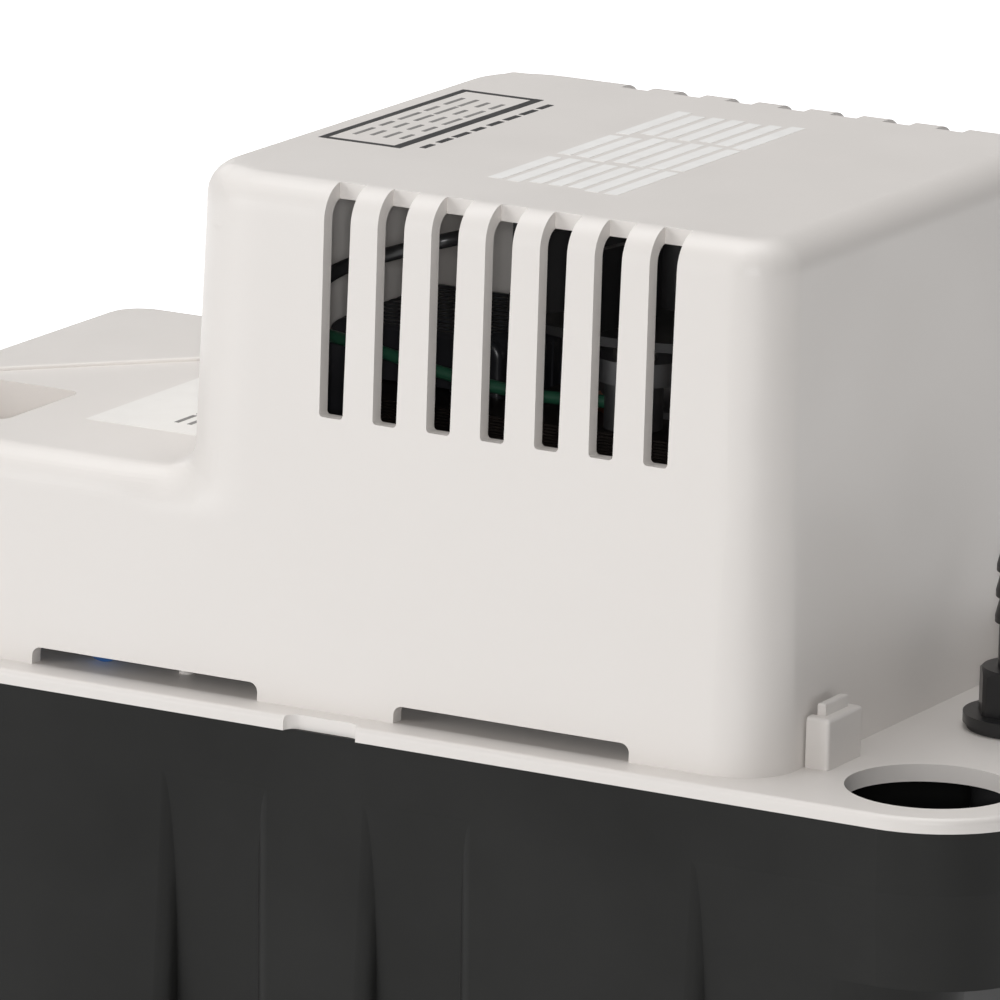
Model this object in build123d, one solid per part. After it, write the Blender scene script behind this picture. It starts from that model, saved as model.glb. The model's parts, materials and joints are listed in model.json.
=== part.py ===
from build123d import *
from math import cos, pi, radians, sin, sqrt, tan
import os

# A condensate pump: a reservoir, a deck that closes it and carries the pump, and a motor cover.
# X runs along the long front, the front faces -Y, +Z is up and the origin lies under the middle
# of the reservoir, on the surface that it stands on. Every length is in millimetres.

# Reservoir
tank_height = 95.0
tank_width = 126.0
tank_wall = 2.4
tank_corner = 19.4
foot_corner_low = 13.4
foot_corner_high = 16.4
foot_edge = 2.0
least_corner = 2.0
rim_band = 11.0
ledge_height = 67.5
ledge_step = 11.0
side_draft = 5.0
end_draft = 2.0
pad_spans = [(-88.5, -74.9), (-60.1, -12.7), (2.1, 26.2), (41.2, 88.5)]
pad_side_taper = 1.9
pad_edge = 2.9

# Deck
deck_thickness = 2.5
deck_overhang = 1.5
deck_edge = 1.1
skirt_depth = 6.0
skirt_wall = 2.0
skirt_clearance = 0.4
rib_length = 14.0
rib_thickness = 1.6
rib_height = 2.6
rib_gap = 1.8
rib_places = [(-70.0, -1), (12.0, -1), (12.0, 1), (80.0, -1), (80.0, 1)]
guide_rib = (-5.5, -0.6)
guide_rib_y = (-49.0, -47.4)
guide_post = (-19.5, -48.5)
guide_post_radius = 1.3
guide_height = 9.0
inlet_radius = 14.3
inlet_inset = 21.0
inlet_wall = 2.0
inlet_depth = 6.0
finger_gap = (8.6, 22.5)
finger_gap_depth = 2.2

# Motor cover
cover_length = 193.0
cover_end_margin = 42.5
cover_width = 116.8
cover_height = 89.65
cover_wall = 2.8
cover_draft = 1.03
cover_corner = 11.0
cover_edge = 6.0
tall_corner = 10.0
tall_left = -19.8
low_height = 36.8
step_blend = 4.0
slot_count = 7
slot_first = 12.4
slot_pitch = 10.22
slot_bottom = 50.5
slot_low_width = 4.5
slot_high_width = 5.2
slot_reach = 5.2
slot_corner = 0.7
wall_pass = 2.0
base_notches = [(-44.3, 0.0), (26.3, 71.0)]
base_notch_height = 3.1
base_notch_corner = 1.6
well_from_end = (7.5, 34.5)
well_depth_span = (-40.0, -13.0)
well_drop = 13.0
well_corner = 3.0
ridge_height = 0.7
ridge_from_end = (12.5, 52.5)
ridge_slant = (-9.0, 35.5)
ridge_back = 50.0

# Latches between deck and cover
latch_offset = 38.4
latch_width = 12.6
latch_height = 8.7
latch_reach = 4.2
latch_gap = 0.35
leaf_width = 8.3
leaf_thickness = 1.5
leaf_rise = 2.1
leaf_slit = 0.9
latch_edge = 0.7
leaf_edge = 0.4
slit_floor = 2.0

# Motor, on a vertical shaft
motor_share = 52.0 / 96.5
shaft_radius = 3.0
shaft_clearance = 0.05
stack_bottom = 26.0
stack_height = 22.0
stator_end_gap = 18.5
stator_width = 60.0
stator_corner = 5.0
air_gap = 0.4
rotor_edge = 0.6
shaft_edge = 0.4
shaft_end = 1.0
rotor_radius = 14.8
rotor_overhang = 1.5
window_width = 13.0
window_length = 36.0
core_width = 14.0
coil_build = 10.0
coil_corner = 3.5
coil_clearance = 0.25
coil_edge = 1.2
pole_slot_angles = [(35.0, 70.0), (215.0, 250.0)]
pole_slot_width = 2.0
pole_slot_reach = 5.0
ring_width = 3.0
ring_bar = 1.6
ring_thickness = 1.6
screw_offset = 24.0
screw_radius = 2.0
screw_head_radius = 3.8
screw_head_height = 2.6
screw_head_edge = 0.8
bracket_width = 16.0
bracket_bar = 4.0
bracket_leg = 8.0
bracket_end = 5.3
leg_radius = 5.0
hub_radius = 9.0
bearing_radius = 5.2
bearing_length = 8.0
post_radius = 5.5
post_hole_floor = 2.0
motor_screw_end = 3.0
fan_end_gap = 11.5
fan_gap = 3.4
fan_plate = 1.6
fan_blade_height = 14.0
fan_blade_thickness = 1.5
fan_blade_count = 11
fan_hub_radius = 8.0
fan_blade_start = 5.0
fan_hub_drop = 2.0
slinger_radius = 8.0
slinger_thickness = 2.0
slinger_height = 7.0
slinger_edge = 0.8

# Pump under the deck
collar_height = 3.0
column_radius = 10.0
column_bore = 6.5
column_flange_radius = 17.0
column_flange = 3.0
column_window = (7.0, 34.0)
column_screw_circle = 13.5
column_screw_count = 3
column_screw_turn = 30.0
column_window_corner = 0.5
small_screw_radius = 1.4
small_head_radius = 2.6
small_head_height = 1.8
volute_bottom = 8.0
volute_height = 15.0
volute_wall = 2.2
scroll_start = 20.0
scroll_growth = 7.0
outlet_radius = 5.2
outlet_length = 36.0
impeller_radius = 17.0
impeller_disc = 1.6
impeller_blade_height = 5.0
impeller_blade_thickness = 1.4
impeller_blade_count = 6
impeller_gap = 1.5
impeller_hub_radius = 5.5
impeller_hub_rise = 2.0
impeller_sweep = 55.0
blade_bow = 0.18
blade_sink = 0.8
blade_tip_gap = 0.4
eye_radius = 7.0
intake_thickness = 1.6
strainer_foot_height = 3.4
strainer_foot_count = 6
strainer_circle = 12.0
strainer_foot_radius = 1.2
strainer_foot_sink = 0.5
volute_screw_angles = (60.0, 150.0, 240.0)
volute_screw_out = 2.8
volute_screw_depth = 8.0
volute_boss_wall = 1.8
pipe_bore = 3.6
pipe_entry = 8.0
pipe_run = 18.0
pipe_first_rise = 19.0
pipe_second_rise = 38.0
pipe_shift = 13.5

# Discharge fitting with its check ball
discharge_gap = 18.6
gasket_thickness = 1.0
gasket_radius = 9.3
flange_radius = 10.0
flange_thickness = 1.7
hexagon_apothem = 7.1
hexagon_top = 10.6
stem_radius = 4.4
barb_radius = 5.2
barb_first = 18.4
barb_count = 3
barb_land = 1.0
barb_rise = 3.4
nose_length = 3.0
nose_edge = 0.8
hexagon_edge = 1.0
hexagon_trim = 0.3
chamber_room = 0.4
discharge_bore = 3.1
spigot_radius = 6.6
spigot_length = 14.0
chamber_bore = 5.0
ball_radius = 4.4
ball_travel = 3.0
ball_rest_gap = 0.05
seat_cup_wall = 1.6
seat_cup_height = 5.0
seat_plate = 2.0

# Float and its switches
rod_from_end = 12.5
rod_y = 10.0
rod_radius = 1.5
rod_clearance = 0.3
float_size = (58.0, 50.0, 22.0)
float_bottom = 20.0
float_edge = 4.0
rod_sink = 17.0
rod_tip = 1.2
guide_radius = 4.5
clip_seat_gap = 0.3
clip_radius = 2.6
clip_thickness = 1.6
clip_gap = 1.5
lever_thickness = 1.2
lever_height = 6.6
lever_width = 21.6
lever_tip_width = 11.0
lever_wide = 12.0
lever_shoulder = 8.0
lever_overhang = 6.0
lug_length = 8.0
lug_radius = 2.6
pivot_x = -42.0
pivot_radius = 1.2
pivot_clearance = 0.06
pin_head = 0.8
plunger_arm = 6.0
plunger_radius = 1.3
plunger_clearance = 0.15
plunger_gap = 0.5
plunger_length = 5.6
switch_size = (27.0, 9.0, 15.9)
switch_gap = 0.3
switch_height = 10.8
switch_end = 3.0
switch_edge = 0.8
switch_holes = (7.0, 20.0)
switch_hole_drop = 3.5
plunger_room = 2.8
plunger_edge = 0.4
nut_thickness = 1.6
ear_thickness = 1.2
ear_clearance = 0.5
ear_span = (-46.0, -26.0)
ear_height = 25.0
bracket_foot_end = -20.0
bracket_screw_x = -22.8
bracket_screw_offset = 6.5
bracket_screw_depth = 5.0
slot_room = 0.7
slot_length = 9.0

# Cord inlet
grommet_from_end = 24.5
grommet_width = 12.0
grommet_rise = 14.0
grommet_bore = 3.6
grommet_flange = 1.5
grommet_gap = 0.5
grommet_groove_gap = 0.35

# Leads and their connectors
lead_radius = 1.25
green_radius = 1.1
connector_radius = 4.2
connector_nose_radius = 2.6
connector_nose = 2.4
connector_length = 16.0
connector_places = [(-35.2, -52.5), (-56.0, -52.5)]
terminal_width = 4.8
terminal_thickness = 0.8
terminal_length = 6.5
terminal_pitch = 4.4
lead_sink = 0.6
lead_start = 12.0
lead_rest = 5.0
cord_room = 0.8
arc_share = 0.45

# Routes of the leads between their ends, each point as x, y and the height above the deck
black_route = [(-21.0, -25.0, 9.0), (-14.0, -34.0, 30.0), (-8.0, -41.0, 58.0), (3.0, -43.0, 72.0),
               (15.0, -43.0, 76.5), (28.0, -43.0, 81.0), (26.0, -30.0, 79.0), (14.0, -13.0, 70.0)]
green_route = [(-69.0, 42.0, 5.0), (-50.0, 32.0, 4.0), (-28.0, 31.0, 7.0), (-14.0, 20.0, 22.0),
               (-13.8, -4.0, 40.0), (-13.6, -21.5, 56.0), (1.0, -29.5, 57.0), (20.0, -29.5, 53.5),
               (36.0, -28.0, 51.8)]
white_route = [(-40.0, -14.0, 5.0), (-25.0, -13.0, 11.0)]
black_end_y = -9.0
green_end = (-25.0, 52.0)
white_turn_y = -7.0

# How far a cutter runs past what it cuts, and a joined block into its neighbour
over = 1.0

# What is left straight of an edge that is rounded nearly to its middle
round_end_trim = 0.1

# Heights and lengths that follow from the sizes above
tank_length = cover_length + 2 * cover_end_margin
deck_top = tank_height + deck_thickness
deck_length = tank_length + 2 * deck_overhang
deck_width = tank_width + 2 * deck_overhang
deck_corner = tank_corner + deck_overhang
cover_half_length = cover_length / 2
cover_half_width = cover_width / 2
well_span = [end - cover_half_length for end in well_from_end]
motor_x = motor_share * cover_half_length
stator_half = cover_half_length - stator_end_gap - motor_x
fan_radius = cover_half_length - fan_end_gap - motor_x
discharge_x = cover_half_length + discharge_gap
rod_x = rod_from_end - cover_half_length
grommet_x = grommet_from_end - cover_half_length
pivot_z = deck_top + lever_height
lever_top = pivot_z + lever_thickness / 2
lever_bottom = pivot_z - lever_thickness / 2
stack_z = deck_top + stack_bottom
stack_top = stack_z + stack_height
stator_left = motor_x - stator_half
core_right = stator_left - window_width
core_left = core_right - core_width
upper_bar_z = stack_top + bracket_leg
fan_z = upper_bar_z + bracket_bar + fan_gap
fan_top = fan_z + fan_plate + fan_blade_height
clip_low_z = lever_bottom - clip_gap - clip_thickness
clip_high_z = lever_top + clip_gap
rod_foot = float_bottom + float_size[2] - rod_sink
seat_z = deck_top - spigot_length
ball_z = seat_z + sqrt(ball_radius ** 2 - pipe_bore ** 2) + ball_rest_gap
guide_top = clip_low_z - clip_seat_gap
lever_half = lever_width / 2
ear_inner = lever_half + ear_clearance
switch_z = deck_top + switch_height
switch_left = pivot_x - plunger_arm - switch_end
outlet_y = -(scroll_start + scroll_growth) + outlet_radius
outlet_z = volute_bottom + volute_height / 2
impeller_z = volute_bottom + impeller_gap
volute_top = volute_bottom + volute_height
column_top = tank_height


def block(x_span, y_span, z_span):
    """A box between two corners."""
    length = x_span[1] - x_span[0]
    width = y_span[1] - y_span[0]
    height = z_span[1] - z_span[0]
    middle = (sum(x_span) / 2, sum(y_span) / 2, sum(z_span) / 2)
    return Pos(*middle) * Box(length, width, height)


def rod(radius, z_span, x=0.0, y=0.0):
    """An upright cylinder."""
    height = z_span[1] - z_span[0]
    return Pos(x, y, sum(z_span) / 2) * Cylinder(radius, height)


def slab(length, width, corner, z_span, x=0.0, y=0.0):
    """An upright prism with rounded corners."""
    outline = Pos(x, y, z_span[0]) * RectangleRounded(length, width, corner)
    return extrude(outline, z_span[1] - z_span[0])


def tapered(x, z_span, low, high, y=0.0):
    """A loft between two rounded rectangles, each given as length, width and corner radius."""
    bottom = Pos(x, y, z_span[0]) * RectangleRounded(*low)
    top = Pos(x, y, z_span[1]) * RectangleRounded(*high)
    return loft([bottom, top], ruled=True)


def edges_at(solid, height):
    """The edges that lie flat at one height."""
    return [e for e in solid.edges() if abs(e.bounding_box().min.Z - height) < 1e-3
            and abs(e.bounding_box().max.Z - height) < 1e-3]


def tube_along(points, radius, bore=0.0):
    """A round tube along straight runs; each arc takes `arc_share` of the shorter run beside it."""
    corners = [Vector(*p) for p in points]
    radii = []
    for before, corner, after in zip(corners, corners[1:], corners[2:]):
        shorter = min((corner - before).length, (after - corner).length)
        turn = radians((corner - before).get_angle(after - corner))
        radii.append(arc_share * shorter / tan(turn / 2))
    path = FilletPolyline(*points, radius=radii)
    section = Plane(origin=path @ 0, z_dir=path % 0) * Circle(radius)
    tube = sweep(section, path=path)
    if bore:
        tube -= sweep(Plane(origin=path @ 0, z_dir=path % 0) * Circle(bore), path=path)
    return tube


def tank_form(inset):
    """The reservoir's outside, or its hollow when every wall is moved in by `inset`."""
    def size(length, width, corner):
        return length - 2 * inset, width - 2 * inset, max(corner - inset, least_corner)

    band_z = tank_height - rim_band
    floor = inset
    upper_fall = 2 * (band_z - ledge_height) * tan(radians(side_draft))
    lower_fall = 2 * (ledge_height - floor) * tan(radians(side_draft))
    end_fall = 2 * (ledge_height - floor) * tan(radians(end_draft))
    lower_length = tank_length - 2 * ledge_step
    lower_width = tank_width - upper_fall
    ledge = ledge_height + inset
    rim = slab(*size(tank_length, tank_width, tank_corner), (band_z, tank_height + (over if inset else 0)))
    shoulder = tapered(0, (ledge, band_z), size(tank_length, lower_width, tank_corner),
                       size(tank_length, tank_width, tank_corner))
    foot = tapered(0, (floor, ledge),
                   size(lower_length - end_fall, lower_width - lower_fall, foot_corner_low),
                   size(lower_length, lower_width, foot_corner_high))
    foot = fillet(edges_at(foot, floor), foot_edge)
    form = rim + shoulder + foot
    for span in pad_spans:
        middle = (span[0] + span[1]) / 2
        length = span[1] - span[0]
        low = size(length - 2 * pad_side_taper, tank_width, pad_edge)
        high = size(length, tank_width, pad_edge)
        form += tapered(middle, (floor, band_z), low, high)
    return form


def make_tank():
    return tank_form(0.0) - tank_form(tank_wall)


def inlet_places():
    """The two corners at the discharge end and the front corner at the other end."""
    x = deck_length / 2 - inlet_inset
    y = deck_width / 2 - inlet_inset
    return [(x, -y), (x, y), (-x, -y)]


def latch_places():
    return [(side, end) for side in (1, -1) for end in (-1, 1)]


def make_latch(side, end):
    """One latch block with its leaf, outside a short wall of the cover."""
    root = cover_half_length + latch_gap
    y = end * latch_offset
    body = block((root, root + latch_reach), (y - latch_width / 2, y + latch_width / 2),
                 (deck_top - over, deck_top + latch_height))
    rounded = [e for e in body.edges() if e.center().X > root + latch_edge
               and e.center().Z > deck_top + over]
    body = fillet(rounded, latch_edge)
    leaf_root = root + leaf_slit
    leaf = block((leaf_root, leaf_root + leaf_thickness), (y - leaf_width / 2, y + leaf_width / 2),
                 (deck_top + latch_height - over, deck_top + latch_height + leaf_rise))
    leaf = fillet(edges_at(leaf, deck_top + latch_height + leaf_rise), leaf_edge)
    slit = block((root - over, leaf_root), (y - leaf_width / 2, y + leaf_width / 2),
                 (deck_top + slit_floor, deck_top + latch_height + over))
    latch = body + leaf - slit
    return latch if side > 0 else mirror(latch, about=Plane.YZ)


def make_deck():
    plate = slab(deck_length, deck_width, deck_corner, (tank_height, deck_top))
    plate = fillet(edges_at(plate, deck_top), deck_edge)
    inner_length = tank_length - 2 * (tank_wall + skirt_clearance)
    inner_width = tank_width - 2 * (tank_wall + skirt_clearance)
    inner_corner = tank_corner - tank_wall - skirt_clearance
    skirt_span = (tank_height - skirt_depth, tank_height)
    skirt = slab(inner_length, inner_width, inner_corner, skirt_span)
    skirt -= slab(inner_length - 2 * skirt_wall, inner_width - 2 * skirt_wall,
                  inner_corner - skirt_wall, skirt_span)
    deck = plate + skirt
    for x, y in inlet_places():
        deck += rod(inlet_radius + inlet_wall, (deck_top - inlet_depth, deck_top - over), x, y)
    for x, y in inlet_places():
        deck -= rod(inlet_radius, (deck_top - inlet_depth - over, deck_top + over), x, y)
    middle = sum(finger_gap) / 2
    gap_length = finger_gap[1] - finger_gap[0]
    deck -= slab(gap_length, 2 * finger_gap_depth, finger_gap_depth - round_end_trim,
                 (tank_height - over, deck_top + over), middle, -deck_width / 2)
    for side, end in latch_places():
        deck += make_latch(side, end)
    for end in (-1, 1):
        post = rod(post_radius, (deck_top - over, deck_top + stack_bottom - bracket_leg - bracket_bar),
                   motor_x, end * screw_offset)
        deck += post
        deck -= rod(screw_radius, (deck_top + post_hole_floor, stack_z), motor_x, end * screw_offset)
    for x, side in rib_places:
        rib_y = side * (cover_half_width - cover_wall - rib_gap)
        deck += block((x - rib_length / 2, x + rib_length / 2),
                      (rib_y - rib_thickness / 2, rib_y + rib_thickness / 2),
                      (deck_top - over, deck_top + rib_height))
    deck += block(guide_rib, guide_rib_y, (deck_top - over, deck_top + guide_height))
    deck += rod(guide_post_radius, (deck_top - over, deck_top + guide_height), *guide_post)
    deck += rod(column_bore + skirt_wall, (deck_top - over, deck_top + collar_height), motor_x)
    deck -= rod(column_bore, (tank_height - over, deck_top + collar_height + over), motor_x)
    deck += rod(guide_radius, (tank_height - skirt_depth, guide_top), rod_x, rod_y)
    guide_span = (tank_height - skirt_depth - over, guide_top + over)
    deck -= rod(rod_radius + rod_clearance, guide_span, rod_x, rod_y)
    for end in (-1, 1):
        y = rod_y + end * bracket_screw_offset
        deck += rod(small_head_radius, (tank_height - skirt_depth, deck_top - over), bracket_screw_x, y)
        hole_span = (tank_height - skirt_depth + over, deck_top + over)
        deck -= rod(small_screw_radius, hole_span, bracket_screw_x, y)
    deck -= rod(spigot_radius, (tank_height - over, deck_top + over), discharge_x)
    return deck


def cover_form(inset):
    """The cover's outside, or its hollow when every wall is moved in by `inset`.

    A stepped profile runs across the width and is met by a drafted plan with round corners;
    one rounding then follows the whole rim, down the step and back."""
    low = deck_top + low_height - inset
    top = deck_top + cover_height - inset
    far = cover_length
    step_foot = tall_left + inset
    step_head = step_foot + (top - low) * tan(radians(cover_draft))
    outline = Polyline((-far, deck_top), (-far, low), (step_foot, low), (step_head, top), (far, top),
                       (far, deck_top), close=True)
    face = make_face(Plane.XZ * outline)
    face = fillet(face.vertices().sort_by_distance((step_foot, 0, low))[0], step_blend + inset)
    face = fillet(face.vertices().sort_by_distance((step_head, 0, top))[0], tall_corner - inset)
    profile = extrude(face, cover_width, both=True)
    plan = Pos(0, 0, deck_top) * RectangleRounded(cover_length - 2 * inset, cover_width - 2 * inset,
                                                  cover_corner - inset)
    form = profile & extrude(plan, 2 * cover_height, taper=cover_draft)
    rim = [e for e in form.edges() if on_cover_rim(e)]
    return fillet(rim, cover_edge - inset)


def on_cover_rim(edge):
    """True for an edge of the cover's rim, and not for a seam that runs across its top."""
    box = edge.bounding_box()
    across = box.size.X < 1e-3 and box.size.Z < 1e-3
    inland = abs(edge.center().X) < cover_half_length - cover_corner
    return box.min.Z > deck_top + base_notch_height and not (across and inland)


def slot_cutter(x, side):
    """A vent slot that widens upwards and runs over the rounded top edge."""
    top = deck_top + cover_height + over
    low = deck_top + slot_bottom
    half_low = slot_low_width / 2
    half_high = slot_high_width / 2
    outline = Polyline((x - half_low, low), (x + half_low, low), (x + half_high, top),
                       (x - half_high, top), close=True)
    face = make_face(Plane.XZ * outline)
    face = fillet(face.vertices().sort_by(Axis.Z)[:2], slot_corner)
    fall = cover_height * tan(radians(cover_draft))
    inner = cover_half_width - fall - slot_reach
    outer = cover_half_width + wall_pass
    cutter = extrude(face, outer - inner)
    start = -inner if side < 0 else outer
    return Pos(0, start, 0) * cutter


def notch_cutter(span, side):
    """A low notch in the cover's bottom edge with rounded upper corners."""
    middle = sum(span) / 2
    length = span[1] - span[0]
    outline = Pos(middle, 0) * RectangleRounded(length, 2 * base_notch_height, base_notch_corner)
    inner = cover_half_width - cover_wall - wall_pass
    outer = cover_half_width + wall_pass
    prism = extrude(Plane.XZ * outline, outer - inner)
    start = -inner if side < 0 else outer
    return Pos(0, start, deck_top) * prism


def grommet_prism(gap, y_span):
    """The cord inlet's arch, `gap` larger than the grommet, between two distances from the middle."""
    half = grommet_width / 2 + gap
    straight = grommet_rise - grommet_width / 2
    base = block((grommet_x - half, grommet_x + half), y_span, (deck_top, deck_top + straight))
    middle = (grommet_x, sum(y_span) / 2, deck_top + straight)
    arch = Pos(*middle) * Rot(90, 0, 0) * Cylinder(half, y_span[1] - y_span[0])
    return base + arch


def make_cover():
    cover = cover_form(0.0) - cover_form(cover_wall)
    well_x = sum(well_span) / 2
    well_y = sum(well_depth_span) / 2
    well_length = well_span[1] - well_span[0]
    well_width = well_depth_span[1] - well_depth_span[0]
    low_top = deck_top + low_height
    cover += slab(well_length + 2 * cover_wall, well_width + 2 * cover_wall, well_corner + cover_wall,
                  (low_top - well_drop - cover_wall, low_top - over), well_x, well_y)
    cover -= slab(well_length, well_width, well_corner, (low_top - well_drop, low_top + over),
                  well_x, well_y)
    cover += make_ridge()
    for number in range(slot_count):
        for side in (-1, 1):
            cover -= slot_cutter(slot_first + number * slot_pitch, side)
    for span in base_notches:
        for side in (-1, 1):
            cover -= notch_cutter(span, side)
    cover -= grommet_prism(grommet_groove_gap, (cover_half_width - cover_wall - wall_pass,
                                                cover_half_width + wall_pass))
    return cover


def make_ridge():
    """The slightly raised corner of the low top, bounded by a slanting step."""
    low_top = deck_top + low_height
    left, right = (end - cover_half_length for end in ridge_from_end)
    front, middle = ridge_slant
    outline = Polyline((left, front), (right, middle), (right, ridge_back), (left, ridge_back), close=True)
    face = make_face(Pos(0, 0, low_top - over) * outline)
    ridge = extrude(face, over + ridge_height)
    return fillet(edges_at(ridge, low_top + ridge_height), ridge_height - round_end_trim)


def make_stator():
    """A C-shaped stack: the block round the rotor, two arms and the core that closes them."""
    stator_right = motor_x + stator_half
    outline = slab(stator_right - core_left, stator_width, stator_corner, (stack_z, stack_top),
                   (core_left + stator_right) / 2)
    stack = outline - block((core_right, stator_left), (-window_length / 2, window_length / 2),
                            (stack_z - over, stack_top + over))
    stack -= rod(rotor_radius + air_gap, (stack_z - over, stack_top + over), motor_x)
    for angle in (angle for pair in pole_slot_angles for angle in pair):
        slot = block((0.0, rotor_radius + pole_slot_reach), (-pole_slot_width / 2, pole_slot_width / 2),
                     (stack_z - over, stack_top + over))
        stack -= Pos(motor_x, 0, 0) * Rot(0, 0, angle) * slot
    for end in (-1, 1):
        stack -= rod(screw_radius, (stack_z - over, stack_top + over), motor_x, end * screw_offset)
    return stack


def make_coil():
    """The wound and taped coil round the core, with the core's width left open in its middle."""
    middle_x = (core_left + core_right) / 2
    width = core_width + 2 * coil_build
    length = window_length - 2 * coil_clearance
    coil = block((middle_x - width / 2, middle_x + width / 2), (-length / 2, length / 2),
                 (stack_z - coil_build, stack_top + coil_build))
    coil = fillet(coil.edges().filter_by(Axis.Y), coil_corner)
    ends = [e for e in coil.edges() if abs(abs(e.center().Y) - length / 2) < 1e-3]
    coil = fillet(ends, coil_edge)
    return coil - block((core_left - coil_clearance, core_right + coil_clearance), (-length, length),
                        (stack_z - coil_clearance, stack_top + coil_clearance))


def make_shading_rings():
    """A copper loop round part of each pole: an arc on each face of the stack, joined through slots."""
    rings = []
    outer = rotor_radius + pole_slot_reach
    inner = outer - ring_width
    for first, second in pole_slot_angles:
        arc_line = CenterArc((0, 0), (outer + inner) / 2, first, second - first)
        arc = trace(arc_line, ring_width)
        ring = extrude(Pos(0, 0, stack_z - ring_thickness) * arc, ring_thickness)
        ring += extrude(Pos(0, 0, stack_top) * arc, ring_thickness)
        for angle in (first, second):
            bar = block((inner, outer), (-ring_bar / 2, ring_bar / 2),
                        (stack_z - ring_thickness, stack_top + ring_thickness))
            ring += Rot(0, 0, angle) * bar
        rings.append(Pos(motor_x, 0, 0) * ring)
    return rings


def make_bracket(bar_z, leg_z, hub_z):
    """A die-cast bridge over the rotor: a bar with a leg at each end and a bearing hub."""
    half = screw_offset + bracket_end
    corner = bracket_width / 2 - round_end_trim
    bar = slab(bracket_width, 2 * half, corner, (bar_z, bar_z + bracket_bar), motor_x)
    bracket = bar + rod(hub_radius, hub_z, motor_x)
    for end in (-1, 1):
        bracket += rod(leg_radius, leg_z, motor_x, end * screw_offset)
    bracket -= rod(bearing_radius, (hub_z[0] - over, hub_z[1] + over), motor_x)
    hole_span = (min(bar_z, leg_z[0]) - over, max(bar_z + bracket_bar, leg_z[1]) + over)
    for end in (-1, 1):
        bracket -= rod(screw_radius, hole_span, motor_x, end * screw_offset)
    return bracket


def make_upper_bracket():
    hub = (upper_bar_z + bracket_bar - bearing_length, upper_bar_z + bracket_bar)
    return make_bracket(upper_bar_z, (stack_top, upper_bar_z), hub)


def make_lower_bracket():
    bar_z = stack_z - bracket_leg - bracket_bar
    return make_bracket(bar_z, (stack_z - bracket_leg, stack_z), (bar_z, bar_z + bearing_length))


def make_bearing(low):
    bearing = rod(bearing_radius, (low, low + bearing_length), motor_x)
    return bearing - rod(shaft_radius + shaft_clearance, (low - over, low + bearing_length + over), motor_x)


def make_motor_screws():
    screws = []
    for end in (-1, 1):
        y = end * screw_offset
        seat = upper_bar_z + bracket_bar
        shank = rod(screw_radius, (deck_top + motor_screw_end, seat), motor_x, y)
        head = rod(screw_head_radius, (seat, seat + screw_head_height), motor_x, y)
        screws.append(shank + fillet(edges_at(head, seat + screw_head_height), screw_head_edge))
    return screws


def make_rotor():
    core = rod(rotor_radius, (stack_z - rotor_overhang, stack_top + rotor_overhang), motor_x)
    core = chamfer([e for e in core.edges() if e.geom_type == GeomType.CIRCLE], rotor_edge)
    return core - rod(shaft_radius, (stack_z - bracket_leg, stack_top + bracket_leg), motor_x)


def make_shaft():
    shaft = rod(shaft_radius, (impeller_z, fan_top + shaft_end), motor_x)
    return chamfer([e for e in shaft.edges() if e.geom_type == GeomType.CIRCLE], shaft_edge)


def curved_blade(inner, outer, sweep_angle, thickness, z_span):
    """An upright blade on an arc from one radius to another, leaning back by an angle."""
    start = Vector(inner, 0)
    end = Vector(outer * cos(radians(sweep_angle)), outer * sin(radians(sweep_angle)))
    middle = (start + end) / 2 + Vector(end.Y - start.Y, start.X - end.X) * blade_bow
    line = ThreePointArc(start, middle, end)
    return extrude(Pos(0, 0, z_span[0]) * trace(line, thickness), z_span[1] - z_span[0])


def make_fan():
    """A radial cooling fan: a back plate, a hub on the shaft and straight blades."""
    top = fan_z + fan_plate + fan_blade_height
    fan = rod(fan_radius, (fan_z, fan_z + fan_plate)) + rod(fan_hub_radius, (fan_z, top - fan_hub_drop))
    for number in range(fan_blade_count):
        blade = block((fan_hub_radius + fan_blade_start, fan_radius),
                      (-fan_blade_thickness / 2, fan_blade_thickness / 2), (fan_z, top))
        fan += Rot(0, 0, 360.0 * number / fan_blade_count) * blade
    fan -= rod(shaft_radius, (fan_z - over, top + over))
    return Pos(motor_x, 0, 0) * fan


def make_slinger():
    z = deck_top + slinger_height
    disc = rod(slinger_radius, (z, z + slinger_thickness), motor_x)
    disc = fillet([e for e in disc.edges() if e.geom_type == GeomType.CIRCLE], slinger_edge)
    return disc - rod(shaft_radius, (z - over, z + slinger_thickness + over), motor_x)


def make_impeller():
    """A semi-open impeller: a disc above, curved blades below and a hub on the shaft."""
    disc_z = impeller_z + impeller_blade_height
    impeller = rod(impeller_radius, (disc_z, disc_z + impeller_disc))
    impeller += rod(impeller_hub_radius, (impeller_z + over, disc_z + impeller_disc + impeller_hub_rise))
    for number in range(impeller_blade_count):
        blade = curved_blade(impeller_hub_radius - blade_sink, impeller_radius - blade_tip_gap,
                             impeller_sweep, impeller_blade_thickness, (impeller_z, disc_z + blade_sink))
        impeller += Rot(0, 0, 360.0 * number / impeller_blade_count) * blade
    impeller -= rod(shaft_radius, (impeller_z - over, disc_z + 2 * impeller_blade_height))
    return Pos(motor_x, 0, 0) * impeller


def make_column():
    """The tube that carries the pump under the deck, with windows that drain it."""
    column = rod(column_radius, (volute_top, column_top), motor_x)
    column += rod(column_flange_radius, (column_top - column_flange, column_top), motor_x)
    column -= rod(column_bore, (volute_top - over, column_top + over), motor_x)
    width, height = column_window
    middle = (volute_top + column_top) / 2
    window = slab(width, 4 * column_radius, column_window_corner, (middle - height / 2, middle + height / 2))
    column -= Pos(motor_x, 0, 0) * window
    for x, y in column_screw_places():
        column -= rod(small_screw_radius, (column_top - column_flange - over, column_top + over), x, y)
    return column


def column_screw_places():
    places = []
    for number in range(column_screw_count):
        angle = radians(360.0 * number / column_screw_count + column_screw_turn)
        places.append((motor_x + column_screw_circle * cos(angle), column_screw_circle * sin(angle)))
    return places


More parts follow.
